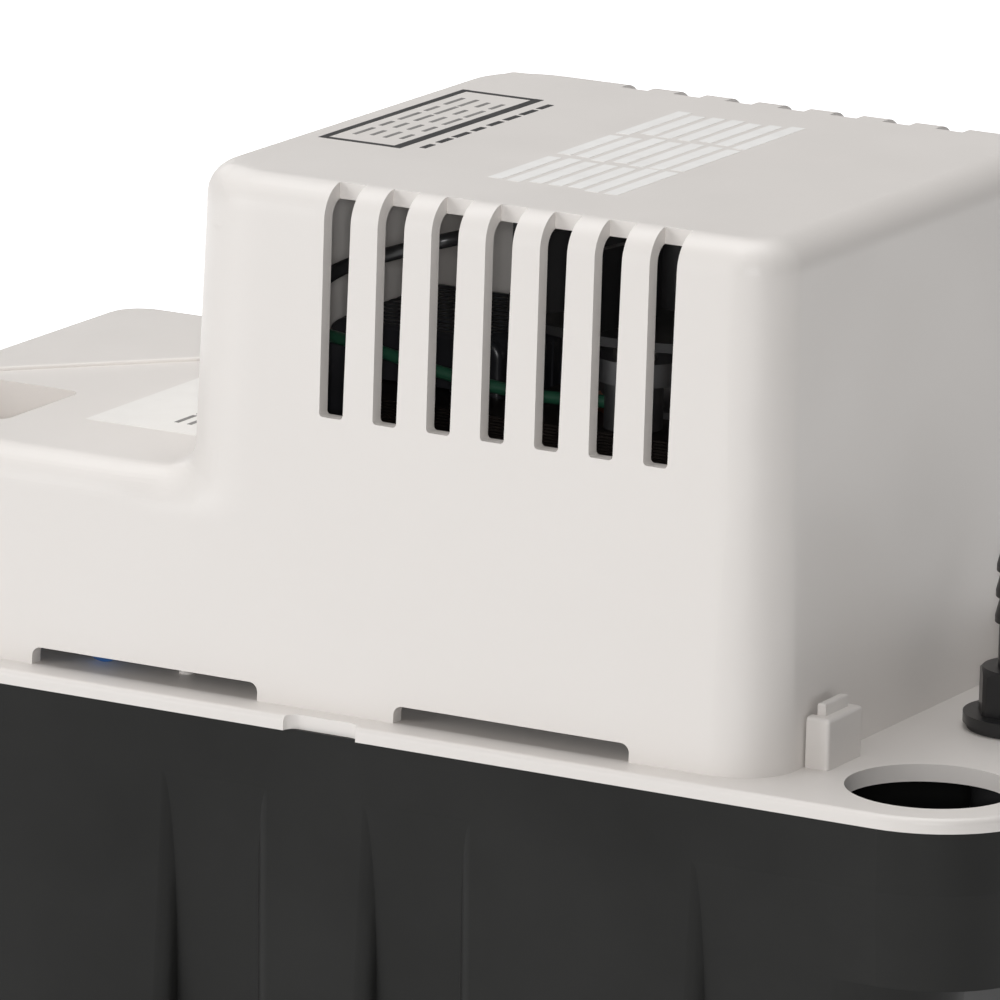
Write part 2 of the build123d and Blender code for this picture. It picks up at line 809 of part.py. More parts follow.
def make_column_screws():
    seat = column_top - column_flange
    return [rod(small_screw_radius, (seat, column_top), x, y)
            + rod(small_head_radius, (seat - small_head_height, seat), x, y)
            for x, y in column_screw_places()]


def scroll_face(offset):
    """A spiral outline that widens steadily through one turn, moved outwards by `offset`."""
    count = 16
    points = []
    for number in range(count + 1):
        share = number / count
        angle = 2 * pi * share - pi / 2
        radius = scroll_start + scroll_growth * share + offset
        points.append((radius * cos(angle), radius * sin(angle)))
    spiral = Spline(*points)
    return make_face(spiral + Line(points[-1], points[0]))


def make_volute():
    """The pump's scroll casing with its tangent outlet, open below for the intake plate."""
    inner_span = (volute_bottom - over, volute_top - volute_wall)
    casing = extrude(Pos(0, 0, volute_bottom) * scroll_face(volute_wall), volute_height)
    outlet = Rot(0, 90, 0) * Cylinder(outlet_radius + volute_wall, outlet_length)
    casing += Pos(outlet_length / 2, outlet_y, outlet_z) * outlet
    for x, y in volute_screw_places():
        casing += rod(small_screw_radius + volute_boss_wall, (volute_bottom, volute_top), x, y)
    casing -= extrude(Pos(0, 0, inner_span[0]) * scroll_face(0.0), inner_span[1] - inner_span[0])
    bore = Rot(0, 90, 0) * Cylinder(outlet_radius, outlet_length + over)
    casing -= Pos((outlet_length + over) / 2, outlet_y, outlet_z) * bore
    casing -= rod(column_bore, (volute_bottom, volute_top + over))
    hole_span = (volute_bottom - over, volute_bottom + volute_screw_depth + over)
    for x, y in volute_screw_places():
        casing -= rod(small_screw_radius, hole_span, x, y)
    return Pos(motor_x, 0, 0) * casing


def volute_screw_places():
    places = []
    for angle in volute_screw_angles:
        turn = (angle + 90.0) % 360.0 / 360.0
        radius = scroll_start + scroll_growth * turn + volute_screw_out
        places.append((radius * cos(radians(angle)), radius * sin(radians(angle))))
    return places


def make_intake_plate():
    """The plate under the scroll, with the pump's eye and the short feet that keep solids out."""
    low = volute_bottom - intake_thickness
    plate = extrude(Pos(0, 0, low) * scroll_face(volute_wall), intake_thickness)
    for x, y in volute_screw_places():
        plate += rod(small_screw_radius + volute_boss_wall, (low, volute_bottom), x, y)
    for number in range(strainer_foot_count):
        angle = 2 * pi * number / strainer_foot_count
        plate += rod(strainer_foot_radius, (low - strainer_foot_height, low + strainer_foot_sink),
                     strainer_circle * cos(angle), strainer_circle * sin(angle))
    plate -= rod(eye_radius, (low - over, volute_bottom + over))
    for x, y in volute_screw_places():
        plate -= rod(small_screw_radius, (low - over, volute_bottom + over), x, y)
    return Pos(motor_x, 0, 0) * plate


def make_volute_screws():
    seat = volute_bottom - intake_thickness
    return [rod(small_screw_radius, (seat, volute_bottom + volute_screw_depth), motor_x + x, y)
            + rod(small_head_radius, (seat - small_head_height, seat), motor_x + x, y)
            for x, y in volute_screw_places()]


def make_discharge_tube():
    """The pipe from the scroll up to the deck, with the cup that holds the check ball's seat."""
    start = motor_x + outlet_length - pipe_entry
    plate_z = seat_z - seat_plate
    route = [(start, outlet_y, outlet_z), (start + pipe_run, outlet_y, outlet_z),
             (discharge_x, outlet_y + pipe_shift, outlet_z + pipe_first_rise),
             (discharge_x, 0.0, outlet_z + pipe_second_rise), (discharge_x, 0.0, plate_z)]
    tube = tube_along(route, outlet_radius, pipe_bore)
    cup = rod(spigot_radius + seat_cup_wall, (plate_z, seat_z + seat_cup_height), discharge_x)
    cup -= rod(spigot_radius, (seat_z, seat_z + 2 * seat_cup_height), discharge_x)
    cup -= rod(pipe_bore, (plate_z - over, seat_z + over), discharge_x)
    return tube + cup


def make_gasket():
    gasket = rod(gasket_radius, (deck_top, deck_top + gasket_thickness), discharge_x)
    return gasket - rod(spigot_radius, (deck_top - over, deck_top + 2 * gasket_thickness), discharge_x)


def make_valve_body():
    """The discharge fitting: a spigot, a flange, a hexagon for a spanner and a hose barb."""
    flange_z = gasket_thickness + flange_thickness
    outline = [(0, -spigot_length), (spigot_radius, -spigot_length), (spigot_radius, gasket_thickness),
               (flange_radius, gasket_thickness), (flange_radius, flange_z), (stem_radius, flange_z),
               (stem_radius, barb_first)]
    for number in range(barb_count):
        low = barb_first + number * (barb_land + barb_rise)
        outline += [(barb_radius, low), (barb_radius, low + barb_land),
                    (stem_radius, low + barb_land + barb_rise)]
    nose = barb_first + barb_count * (barb_land + barb_rise) + nose_length
    outline += [(stem_radius, nose - nose_edge), (stem_radius - nose_edge, nose), (0, nose)]
    face = make_face(Plane.XZ * Polyline(*outline, close=True))
    body = revolve(face, Axis.Z)
    hexagon = extrude(Pos(0, 0, gasket_thickness) * RegularPolygon(hexagon_apothem, 6, major_radius=False),
                      hexagon_top - gasket_thickness)
    bevel = Pos(0, 0, hexagon_top / 2) * Cylinder(hexagon_apothem / cos(pi / 6) - hexagon_trim, hexagon_top)
    body += hexagon & chamfer(edges_at(bevel, hexagon_top), hexagon_edge)
    body = Pos(discharge_x, 0, deck_top) * body
    chamber_top = ball_z + ball_travel + ball_radius + chamber_room
    body -= rod(chamber_bore, (seat_z - over, chamber_top), discharge_x)
    body -= rod(discharge_bore, (seat_z, deck_top + nose + over), discharge_x)
    return body


def make_ball():
    return Pos(discharge_x, 0, ball_z) * Sphere(ball_radius)


def make_float():
    length, width, height = float_size
    body = slab(length, width, 2 * float_edge, (float_bottom, float_bottom + height), rod_x, rod_y)
    body = fillet(edges_at(body, float_bottom) + edges_at(body, float_bottom + height), float_edge)
    return body - rod(rod_radius, (rod_foot, float_bottom + height + over), rod_x, rod_y)


def make_float_rod():
    return rod(rod_radius, (rod_foot, clip_high_z + clip_thickness + rod_tip), rod_x, rod_y)


def make_rod_clips():
    clips = []
    for z in (clip_low_z, clip_high_z):
        clip = rod(clip_radius, (z, z + clip_thickness), rod_x, rod_y)
        clips.append(clip - rod(rod_radius, (z - over, z + clip_thickness + over), rod_x, rod_y))
    return clips


def make_lever():
    """The lever that the float rod lifts: a narrowing plate with a slot, and a lug at each side."""
    near = pivot_x - 2 * pivot_radius
    wide = near - lever_wide
    shoulder = rod_x + lever_shoulder
    tip = rod_x - lever_overhang
    half_tip = lever_tip_width / 2
    outline = Polyline((near, -lever_half), (near, lever_half), (wide, lever_half),
                       (shoulder, half_tip), (tip, half_tip), (tip, -half_tip),
                       (shoulder, -half_tip), (wide, -lever_half), close=True)
    plate = extrude(make_face(Pos(0, rod_y, lever_bottom) * outline), lever_thickness)
    slot = Pos(rod_x, rod_y, lever_bottom - over) * SlotOverall(slot_length, 2 * (rod_radius + slot_room))
    lever = plate - extrude(slot, lever_thickness + 2 * over)
    hole_radius = pivot_radius + pivot_clearance
    hole = Pos(pivot_x, rod_y, pivot_z) * Rot(90, 0, 0) * Cylinder(hole_radius, 3 * lever_width)
    for side in (-1, 1):
        span = sorted((rod_y + side * (lever_half - lever_thickness), rod_y + side * lever_half))
        lever += block((pivot_x - lug_length, pivot_x + lug_radius), span,
                       (lever_bottom, pivot_z + lug_radius))
    return lever - hole


def make_pivot_pin():
    """The lever's pin, with a flat head outside one ear."""
    reach = ear_inner + ear_thickness
    pin = Pos(pivot_x, rod_y, pivot_z) * Rot(90, 0, 0) * Cylinder(pivot_radius, 2 * (reach + pin_head))
    head_y = rod_y - reach - pin_head / 2
    head = Pos(pivot_x, head_y, pivot_z) * Rot(90, 0, 0) * Cylinder(2 * pivot_radius, pin_head)
    return pin + head


def switch_middle(side):
    """The middle across the width of one of the two switches that lie side by side."""
    return rod_y + side * (switch_size[1] + switch_gap) / 2


def switch_screw_places():
    z = switch_z + switch_size[2] - switch_hole_drop
    return [(switch_left + spot, z) for spot in switch_holes]


def make_switch_bracket():
    """A bent steel bracket: a foot on the deck and two ears that hold the pin and the switches."""
    half = ear_inner + ear_thickness
    foot = block((ear_span[0], bracket_foot_end), (rod_y - half, rod_y + half),
                 (deck_top, deck_top + ear_thickness))
    bracket = foot
    for side in (-1, 1):
        span = sorted((rod_y + side * ear_inner, rod_y + side * half))
        bracket += block(ear_span, span, (deck_top, deck_top + ear_height))
    bracket -= Pos(pivot_x, rod_y, pivot_z) * Rot(90, 0, 0) * Cylinder(pivot_radius, 3 * lever_width)
    for x, z in switch_screw_places():
        bracket -= Pos(x, rod_y, z) * Rot(90, 0, 0) * Cylinder(small_screw_radius, 3 * lever_width)
    for end in (-1, 1):
        bracket -= rod(small_screw_radius, (deck_top - over, deck_top + 2 * ear_thickness), bracket_screw_x,
                       rod_y + end * bracket_screw_offset)
    return bracket


def make_bracket_screws():
    seat = deck_top + ear_thickness
    return [rod(small_screw_radius, (deck_top - bracket_screw_depth, seat), bracket_screw_x,
                rod_y + end * bracket_screw_offset)
            + rod(small_head_radius, (seat, seat + small_head_height), bracket_screw_x,
                  rod_y + end * bracket_screw_offset)
            for end in (-1, 1)]


def make_switch(side):
    """One snap switch: a moulded body with two screw holes and the plunger's guide below."""
    length, width, height = switch_size
    middle = switch_middle(side)
    body = block((switch_left, switch_left + length), (middle - width / 2, middle + width / 2),
                 (switch_z, switch_z + height))
    body = chamfer(body.edges().filter_by(Axis.Z), switch_edge)
    body -= rod(plunger_radius + plunger_clearance,
                (switch_z - over, lever_top + plunger_gap + plunger_length + plunger_room),
                pivot_x - plunger_arm, middle)
    for x, z in switch_screw_places():
        body -= Pos(x, middle, z) * Rot(90, 0, 0) * Cylinder(small_screw_radius, 2 * width)
    return body


def make_plunger(side):
    low = lever_top + plunger_gap
    plunger = rod(plunger_radius, (low, low + plunger_length), pivot_x - plunger_arm, switch_middle(side))
    return fillet(edges_at(plunger, low), plunger_edge)


def make_switch_screws():
    """Two screws across both ears and both switches, each with a nut at its far end."""
    screws = []
    reach = ear_inner + ear_thickness
    for x, z in switch_screw_places():
        shank_length = 2 * (reach + small_head_height)
        shank = Pos(x, rod_y, z) * Rot(90, 0, 0) * Cylinder(small_screw_radius, shank_length)
        head_y = rod_y - reach - small_head_height / 2
        head = Pos(x, head_y, z) * Rot(90, 0, 0) * Cylinder(small_head_radius, small_head_height)
        nut = Pos(x, rod_y + reach, z) * Rot(-90, 0, 0) * RegularPolygon(small_head_radius, 6)
        screws.append(shank + head + extrude(nut, nut_thickness))
    return screws


def terminal_heights():
    return [switch_z + switch_size[2] / 2 + number * terminal_pitch for number in (-1, 0, 1)]


def make_terminals():
    """Three flat blades at the end of each switch."""
    root = switch_left + switch_size[0]
    blades = []
    for side in (-1, 1):
        y = switch_middle(side)
        for z in terminal_heights():
            blades.append(block((root, root + terminal_length),
                                (y - terminal_width / 2, y + terminal_width / 2),
                                (z - terminal_thickness / 2, z + terminal_thickness / 2)))
    return blades


def make_connectors():
    """Closed-end wire connectors that lie on the deck behind the front wall, noses forwards."""
    connectors = []
    for x, y in connector_places:
        outline = Polyline((0, 0), (connector_nose_radius, 0), (connector_radius, connector_nose),
                           (connector_radius, connector_length), (0, connector_length), close=True)
        body = revolve(make_face(outline), Axis.Y)
        connectors.append(Pos(x, y, deck_top + connector_radius) * body)
    return connectors


def make_grommet():
    """The cord's inlet: a grommet in an arch of the rear wall, with a flange on each side."""
    outer = cover_half_width + grommet_gap
    inner = cover_half_width - cover_wall - grommet_gap
    grommet = grommet_prism(0.0, (inner, outer))
    grommet += grommet_prism(grommet_flange, (outer, outer + grommet_flange))
    grommet += grommet_prism(grommet_flange, (inner - grommet_flange, inner))
    bore_z = deck_top + grommet_rise - grommet_width / 2
    bore_length = 4 * (outer - inner)
    return grommet - Pos(grommet_x, inner, bore_z) * Rot(90, 0, 0) * Cylinder(grommet_bore, bore_length)


def above_deck(points):
    """Points given by their height above the deck, in the part's own frame."""
    return [(x, y, deck_top + rise) for x, y, rise in points]


def leave_connector(number):
    """A lead's first two points: inside a connector's open end, and a little behind it."""
    x, y = connector_places[number]
    end = y + connector_length
    return above_deck([(x, end - lead_sink, connector_radius), (x, end + lead_start, lead_rest)])


def make_black_lead():
    """From the first connector, up and over beside the motor, down into the coil."""
    end = (core_right, black_end_y, stack_top + coil_build - lead_sink)
    return tube_along(leave_connector(0) + above_deck(black_route) + [end], lead_radius)


def make_green_lead():
    """The earth lead from just inside the cord's inlet to a leg of the upper bracket."""
    inner_mouth = cover_half_width - cover_wall - grommet_flange - grommet_gap
    start = (grommet_x, inner_mouth - cord_room, deck_top + grommet_rise - grommet_width / 2)
    y, rise = green_end
    end = (motor_x - leg_radius + lead_sink, y, deck_top + rise)
    return tube_along([start] + above_deck(green_route) + [end], green_radius)


def make_white_lead():
    """From the second connector to the run switch."""
    blade_x = switch_left + switch_size[0] + terminal_length / 2
    blade_y = switch_middle(-1) - terminal_width / 2
    blade_z = terminal_heights()[1]
    turn = (blade_x, white_turn_y, blade_z)
    end = (blade_x, blade_y + lead_sink, blade_z)
    return tube_along(leave_connector(1) + above_deck(white_route) + [turn, end], lead_radius)


def all_pieces():
    """Every node's name with its solid, or its list of solids."""
    return {
        "tank": make_tank(),
        "deck": make_deck(),
        "motor_cover": make_cover(),
        "stator_laminations": make_stator(),
        "motor_coil": make_coil(),
        "shading_rings": make_shading_rings(),
        "upper_bracket": make_upper_bracket(),
        "lower_bracket": make_lower_bracket(),
        "upper_bearing": make_bearing(upper_bar_z + bracket_bar - bearing_length),
        "lower_bearing": make_bearing(stack_z - bracket_leg - bracket_bar),
        "motor_screws": make_motor_screws(),
        "rotor_core": make_rotor(),
        "motor_shaft": make_shaft(),
        "cooling_fan": make_fan(),
        "water_slinger": make_slinger(),
        "impeller": make_impeller(),
        "pump_column": make_column(),
        "column_screws": make_column_screws(),
        "pump_volute": make_volute(),
        "intake_plate": make_intake_plate(),
        "volute_screws": make_volute_screws(),
        "discharge_tube": make_discharge_tube(),
        "valve_gasket": make_gasket(),
        "check_valve_body": make_valve_body(),
        "check_ball": make_ball(),
        "float": make_float(),
        "float_rod": make_float_rod(),
        "rod_clips": make_rod_clips(),
        "switch_lever": make_lever(),
        "pivot_pin": make_pivot_pin(),
        "switch_bracket": make_switch_bracket(),
        "bracket_screws": make_bracket_screws(),
        "run_switch": make_switch(-1),
        "safety_switch": make_switch(1),
        "run_plunger": make_plunger(-1),
        "safety_plunger": make_plunger(1),
        "switch_screws": make_switch_screws(),
        "switch_terminals": make_terminals(),
        "wire_connectors": make_connectors(),
        "cord_grommet": make_grommet(),
        "lead_black": make_black_lead(),
        "lead_green": make_green_lead(),
        "lead_white": make_white_lead(),
    }


os.makedirs("parts", exist_ok=True)
for name, piece in all_pieces().items():
    shape = Compound(children=piece) if isinstance(piece, list) else piece
    export_step(shape, f"parts/{name}.step")
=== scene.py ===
import json
from math import cos, pi, radians, sin, tan

import bmesh
import bpy
from bpy.props import FloatProperty, FloatVectorProperty, IntProperty, PointerProperty
from bpy.types import Operator, Panel, PropertyGroup
from mathutils import Matrix, Vector


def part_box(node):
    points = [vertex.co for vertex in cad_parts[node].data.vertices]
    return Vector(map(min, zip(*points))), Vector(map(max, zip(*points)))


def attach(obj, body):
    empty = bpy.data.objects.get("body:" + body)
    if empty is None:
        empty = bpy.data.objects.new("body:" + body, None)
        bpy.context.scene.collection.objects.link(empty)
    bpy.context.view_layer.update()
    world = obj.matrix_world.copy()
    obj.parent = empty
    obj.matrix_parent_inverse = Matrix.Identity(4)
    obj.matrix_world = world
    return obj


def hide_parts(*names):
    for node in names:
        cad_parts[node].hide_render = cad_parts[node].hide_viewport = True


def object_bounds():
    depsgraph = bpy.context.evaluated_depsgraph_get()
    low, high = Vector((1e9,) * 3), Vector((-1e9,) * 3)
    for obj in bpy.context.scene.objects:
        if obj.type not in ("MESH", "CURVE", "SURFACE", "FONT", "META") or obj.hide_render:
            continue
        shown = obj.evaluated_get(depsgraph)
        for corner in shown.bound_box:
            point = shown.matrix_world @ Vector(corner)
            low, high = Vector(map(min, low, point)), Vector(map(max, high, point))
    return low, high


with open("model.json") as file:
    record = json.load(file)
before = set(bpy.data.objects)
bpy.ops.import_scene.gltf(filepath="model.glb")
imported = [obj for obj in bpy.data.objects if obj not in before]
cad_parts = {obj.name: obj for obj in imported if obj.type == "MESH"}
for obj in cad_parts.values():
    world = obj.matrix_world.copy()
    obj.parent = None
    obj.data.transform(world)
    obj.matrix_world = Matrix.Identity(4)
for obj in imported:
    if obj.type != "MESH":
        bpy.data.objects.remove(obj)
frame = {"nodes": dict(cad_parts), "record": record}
cad_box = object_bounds()

bl_info = {
    "name": "Condensate pump finish",
    "version": (1, 0, 0),
    "blender": (4, 5, 0),
    "location": "View3D > Sidebar > Pump",
    "description": "Gives the packed condensate pump its materials, screws, printed panels and studio",
    "category": "Object",
}

MM = 0.001

# Millimetres from the cover's tall top down to its low top
LOW_TOP_DROP = 52.85

# Width in metres of the faint grain on polished metal
POLISH_GRAIN = 0.0006

# Faces of the reworked mouldings share a shading normal up to this angle
SMOOTH_ANGLE = radians(28.0)

# Radius of a screw's shank as a share of its head's
SHANK_SHARE = 0.53

WHITE = (1.0, 1.0, 1.0, 1.0)
DUST = (0.42, 0.39, 0.35, 1.0)


# Settings

def shade(label, note, value):
    """A colour that the user can change, in linear red, green and blue."""
    return FloatVectorProperty(name=label, description=note, default=value, size=3, min=0.0, max=1.0,
                               subtype="COLOR")


def length(label, note, value):
    """A length that the user can change, in metres."""
    return FloatProperty(name=label, description=note, default=value, min=0.0, precision=5,
                         subtype="DISTANCE", unit="LENGTH")


def share(label, note, value):
    """A number from 0 to 1 that the user can change."""
    return FloatProperty(name=label, description=note, default=value, min=0.0, max=1.0, subtype="FACTOR")


def amount(label, note, value):
    """A plain number that the user can change."""
    return FloatProperty(name=label, description=note, default=value, min=0.0)


class ShellSettings(PropertyGroup):
    """The pale mouldings: the motor cover and the deck."""
    colour: shade("Colour", "Colour of the pale plastic", (0.80, 0.765, 0.735))
    aged: shade("Shaded colour", "Colour that the pale plastic drifts towards in patches",
                (0.77, 0.73, 0.695))
    roughness: share("Roughness", "Roughness of the fine moulded grain", 0.42)
    grain: length("Grain", "Width of one grain of the moulded surface", 0.00022)
    step_corner: length("Step corners", "Radius of the tall part's upright left corners", 0.015)
    top_corner: length("Top left edge", "Radius of the tall part's top left edge", 0.0055)
    rear_reach: length("Rear slots", "How far the rear slots reach into the top", 0.0080)
    lip: length("Inlet lip", "Depth of the lip inside each inlet hole", 0.0030)


class TankSettings(PropertyGroup):
    """The black reservoir."""
    colour: shade("Colour", "Colour of the black plastic", (0.0085, 0.0085, 0.0080))
    scuffed: shade("Scuffed colour", "Colour of the faint rubs on its edges", (0.024, 0.024, 0.023))
    roughness: share("Roughness", "Roughness of the moulded surface", 0.46)
    grain: length("Grain", "Width of one grain of the moulded surface", 0.0004)


class MotorSettings(PropertyGroup):
    """The sheets of the stator and the tape on its coil."""
    sheet: length("Sheet", "Thickness of one steel sheet with its varnish", 0.00055)
    sheet_gap: length("Sheet gap", "Groove that shows between two sheets", 0.00012)
    tape_turns: IntProperty(name="Tape turns", description="Turns of tape along the coil", default=13, min=2)
    tape_step: length("Tape step", "Height of one lap of tape over the one before", 0.0003)
    varnish: shade("Varnish", "Colour of the varnished steel", (0.035, 0.033, 0.034))
    tape: shade("Tape", "Colour of the coil's tape", (0.012, 0.012, 0.014))


class ScrewSettings(PropertyGroup):
    """Threads and recesses of the machine screws."""
    pitch: length("Pitch", "Distance between two turns of thread", 0.0007)
    thread: share("Thread depth", "Depth of the thread as a share of the shank's radius", 0.12)
    recess: share("Recess width", "Width of a recess arm as a share of the head's radius", 0.26)
    reach: share("Recess length", "Length of a recess arm as a share of the head's width", 0.62)


class PrintSettings(PropertyGroup):
    """The plain printed panels on the cover's tops, and the pale rules whose paler ink is a painted
    highlight for the embossed lines on the tall top.
    """
    ink: shade("Ink", "Colour of the dark ruled lines", (0.02, 0.02, 0.022))
    faded: shade("Faded ink", "Colour of the grey rules on the low panel", (0.16, 0.155, 0.15))
    # The pale ink is a painted highlight: it is paler than the plastic and stands for the light caught by
    # the embossed lines on the tall top.
    pale: shade("Pale ink", "Colour of the pale rules on the tall top", (0.93, 0.92, 0.90))
    film: shade("Film", "Colour of the panel on the low top", (0.86, 0.84, 0.81))
    thickness: length("Thickness", "Height of a printed rule above the plastic", 0.00005)


class StudioSettings(PropertyGroup):
    """Camera, lamps and floor."""
    azimuth: FloatProperty(name="Azimuth", description="Camera's turn from the front towards +X",
                           default=radians(28.154), subtype="ANGLE")
    elevation: FloatProperty(name="Elevation", description="Camera's angle above the level",
                             default=radians(13.403), subtype="ANGLE")
    roll: FloatProperty(name="Roll", description="Camera's turn about its own line of sight",
                        default=radians(1.649), subtype="ANGLE")
    distance: length("Distance", "From the camera to the point it looks at", 1.789)
    aim: FloatVectorProperty(name="Aim", description="Point at the middle of the picture",
                             default=(0.0266, -0.0232, 0.1292), subtype="XYZ", unit="LENGTH")
    lens: FloatProperty(name="Lens", description="Focal length in millimetres", default=379.1)
    key: amount("Key lamp", "Power of the small lamp beside the camera, in watts", 9.0)
    side: amount("Side lamp", "Power of the broad lamp at the front left, in watts", 12.5)
    top: amount("Top lamp", "Power of the lamp overhead, in watts", 22.0)
    back: amount("Back lamp", "Power of the broad lamp behind, in watts", 4.0)
    fill: amount("Sky", "Strength of the even light from all round", 0.14)
    floor: shade("Floor", "Colour of the floor", (0.80, 0.80, 0.80))
    floor_glow: share("Floor glow", "How far the floor is lifted to white in the picture", 1.0)


# Node helpers

def put(tree, kind, inputs=None, **settings):
    """A node with its settings; each input gets a plain value or a link from another node's output."""
    made = tree.nodes.new(kind)
    for key, value in settings.items():
        setattr(made, key, value)
    for key, value in (inputs or {}).items():
        if isinstance(value, bpy.types.NodeSocket):
            tree.links.new(value, made.inputs[key])
        else:
            made.inputs[key].default_value = value
    return made


def send(tree, target, sources):
    """Links outputs into a node's inputs."""
    for key, source in sources.items():
        tree.links.new(source, target.inputs[key])
    return tree


def calc(tree, operation, *values, **settings):
    """One sum on plain numbers or other nodes' outputs."""
    return put(tree, "ShaderNodeMath", dict(enumerate(values)), operation=operation, **settings).outputs[0]


def xyz(tree, x=0.0, y=0.0, z=0.0):
    """A vector from three plain numbers or outputs."""
    return put(tree, "ShaderNodeCombineXYZ", {"X": x, "Y": y, "Z": z}).outputs[0]


def parts_of(tree, vector):
    """The three parts of a vector."""
    return put(tree, "ShaderNodeSeparateXYZ", {0: vector}).outputs


def opaque(colour):
    return (*colour, 1.0)


def add_inputs(tree, inputs):
    """Named inputs of a group; the form of a default value tells its socket's kind."""
    for label, value in inputs.items():
        if isinstance(value, tuple):
            kind = "Color" if len(value) == 4 else "Vector"
        else:
            kind = "Int" if isinstance(value, int) else "Float"
        socket = tree.interface.new_socket(label, in_out="INPUT", socket_type=f"NodeSocket{kind}")
        socket.default_value = value


def shader_group(name, inputs, *outputs):
    """An empty shader group with its sockets, the outputs of its input node, and its output node."""
    tree = bpy.data.node_groups.new(name, "ShaderNodeTree")
    add_inputs(tree, inputs)
    for label in outputs:
        kind = "Color" if label == "Color" else "Float"
        tree.interface.new_socket(label, in_out="OUTPUT", socket_type=f"NodeSocket{kind}")
    return tree, tree.nodes.new("NodeGroupInput").outputs, tree.nodes.new("NodeGroupOutput")


def noise_on(tree, place, scale, detail, roughness):
    """Noise on a vector."""
    inputs = {"Vector": place, "Scale": scale, "Detail": detail, "Roughness": roughness}
    return put(tree, "ShaderNodeTexNoise", inputs).outputs[0]


def make_mottle_group():
    """Two colours in soft patches."""
    inputs = {"First": (0.5, 0.5, 0.5, 1.0), "Second": (0.4, 0.4, 0.4, 1.0), "Scale": 30.0, "Contrast": 1.0}
    tree, given, result = shader_group("mottle", inputs, "Color")
    place = put(tree, "ShaderNodeTexCoord").outputs["Object"]
    noise = noise_on(tree, place, given["Scale"], 4.0, 0.55)
    swing = calc(tree, "MULTIPLY", calc(tree, "SUBTRACT", noise, 0.5), given["Contrast"])
    patches = calc(tree, "ADD", swing, 0.5, use_clamp=True)
    mix = put(tree, "ShaderNodeMix", {0: patches, 6: given["First"], 7: given["Second"]}, data_type="RGBA")
    return send(tree, result, {"Color": mix.outputs[2]})


def make_grain_group():
    """The height and roughness of a moulded grain: fine grains on a slow ripple."""
    tree, given, result = shader_group("moulded_grain", {
        "Scale": 2500.0, "Ripple": 0.3, "Roughness": 0.45, "Spread": 0.08}, "Height", "Roughness")
    place = put(tree, "ShaderNodeTexCoord").outputs["Object"]
    fine = noise_on(tree, place, given["Scale"], 2.0, 0.6)
    slow = noise_on(tree, place, 60.0, 2.0, 0.5)
    height = calc(tree, "ADD", fine, calc(tree, "MULTIPLY", slow, given["Ripple"]))
    roughness = calc(tree, "MULTIPLY_ADD", calc(tree, "SUBTRACT", slow, 0.5), given["Spread"],
                     given["Roughness"], use_clamp=True)
    return send(tree, result, {"Height": height, "Roughness": roughness})


def make_lines_group():
    """Fine lines drawn along one axis, as rolling or brushing leaves them."""
    tree, given, result = shader_group("drawn_lines", {"Stretch": (1.0, 1.0, 30.0), "Scale": 60.0}, "Height")
    place = put(tree, "ShaderNodeTexCoord").outputs["Object"]
    pulled = put(tree, "ShaderNodeVectorMath", {0: place, 1: given["Stretch"]}, operation="MULTIPLY")
    return send(tree, result, {"Height": noise_on(tree, pulled.outputs[0], given["Scale"], 5.0, 0.65)})


def make_dust_group():
    """Where dust settles: upward faces, broken up by patches."""
    tree, given, result = shader_group("settled_dust", {"Amount": 0.2, "Scale": 80.0}, "Mask")
    place = put(tree, "ShaderNodeTexCoord").outputs["Object"]
    facing = put(tree, "ShaderNodeNewGeometry").outputs["Normal"]
    rise = parts_of(tree, facing)["Z"]
    upward = put(tree, "ShaderNodeMapRange", {"Value": rise, "From Min": 0.35, "From Max": 1.0})
    noise = noise_on(tree, place, given["Scale"], 5.0, 0.7)
    patches = put(tree, "ShaderNodeMapRange", {"Value": noise, "From Min": 0.35, "From Max": 0.75})
    both = calc(tree, "MULTIPLY", upward.outputs[0], patches.outputs[0])
    return send(tree, result, {"Mask": calc(tree, "MULTIPLY", both, given["Amount"])})


def group(name):
    """A shared node group, made when it is first needed."""
    makers = {"mottle": make_mottle_group, "moulded_grain": make_grain_group,
              "drawn_lines": make_lines_group, "settled_dust": make_dust_group}
    return bpy.data.node_groups.get(name) or makers[name]()


def start_material(name, metallic=0.0):
    """A material with only its Principled shader, and that shader."""
    material = bpy.data.materials.new(name)
    material.use_nodes = True
    shader = material.node_tree.nodes["Principled BSDF"]
    shader.inputs["Metallic"].default_value = metallic
    return material, material.node_tree, shader


def place_group(tree, name, values):
    """A shared group placed in a material with its own values."""
    return put(tree, "ShaderNodeGroup", values, node_tree=group(name))


def raise_surface(tree, shader, height, distance):
    """A bump from a height, into the shader's normal."""
    bump = put(tree, "ShaderNodeBump", {"Height": height, "Strength": 1.0, "Distance": distance})
    send(tree, shader, {"Normal": bump.outputs["Normal"]})


def moulded(name, colour, second, roughness, grain, depth=0.00001, patches=18.0, dust=0.0, specular=0.5,
            spread=0.12):
    """Moulded plastic: soft patches of two colours, a fine grain and a little dust on top."""
    material, tree, shader = start_material(name)
    patch = place_group(tree, "mottle", {"First": opaque(colour), "Second": opaque(second),
                                         "Scale": patches, "Contrast": 1.8})
    skin = place_group(tree, "moulded_grain", {"Scale": 1.0 / grain, "Ripple": 0.6,
                                               "Roughness": roughness, "Spread": spread})
    shader.inputs["Specular IOR Level"].default_value = specular
    tinted = patch.outputs["Color"]
    if dust:
        settled = place_group(tree, "settled_dust", {"Amount": dust, "Scale": 90.0})
        mix = put(tree, "ShaderNodeMix", {0: settled.outputs["Mask"], 6: tinted, 7: DUST}, data_type="RGBA")
        tinted = mix.outputs[2]
    send(tree, shader, {"Base Color": tinted, "Roughness": skin.outputs["Roughness"]})
    raise_surface(tree, shader, skin.outputs["Height"], depth)
    return material


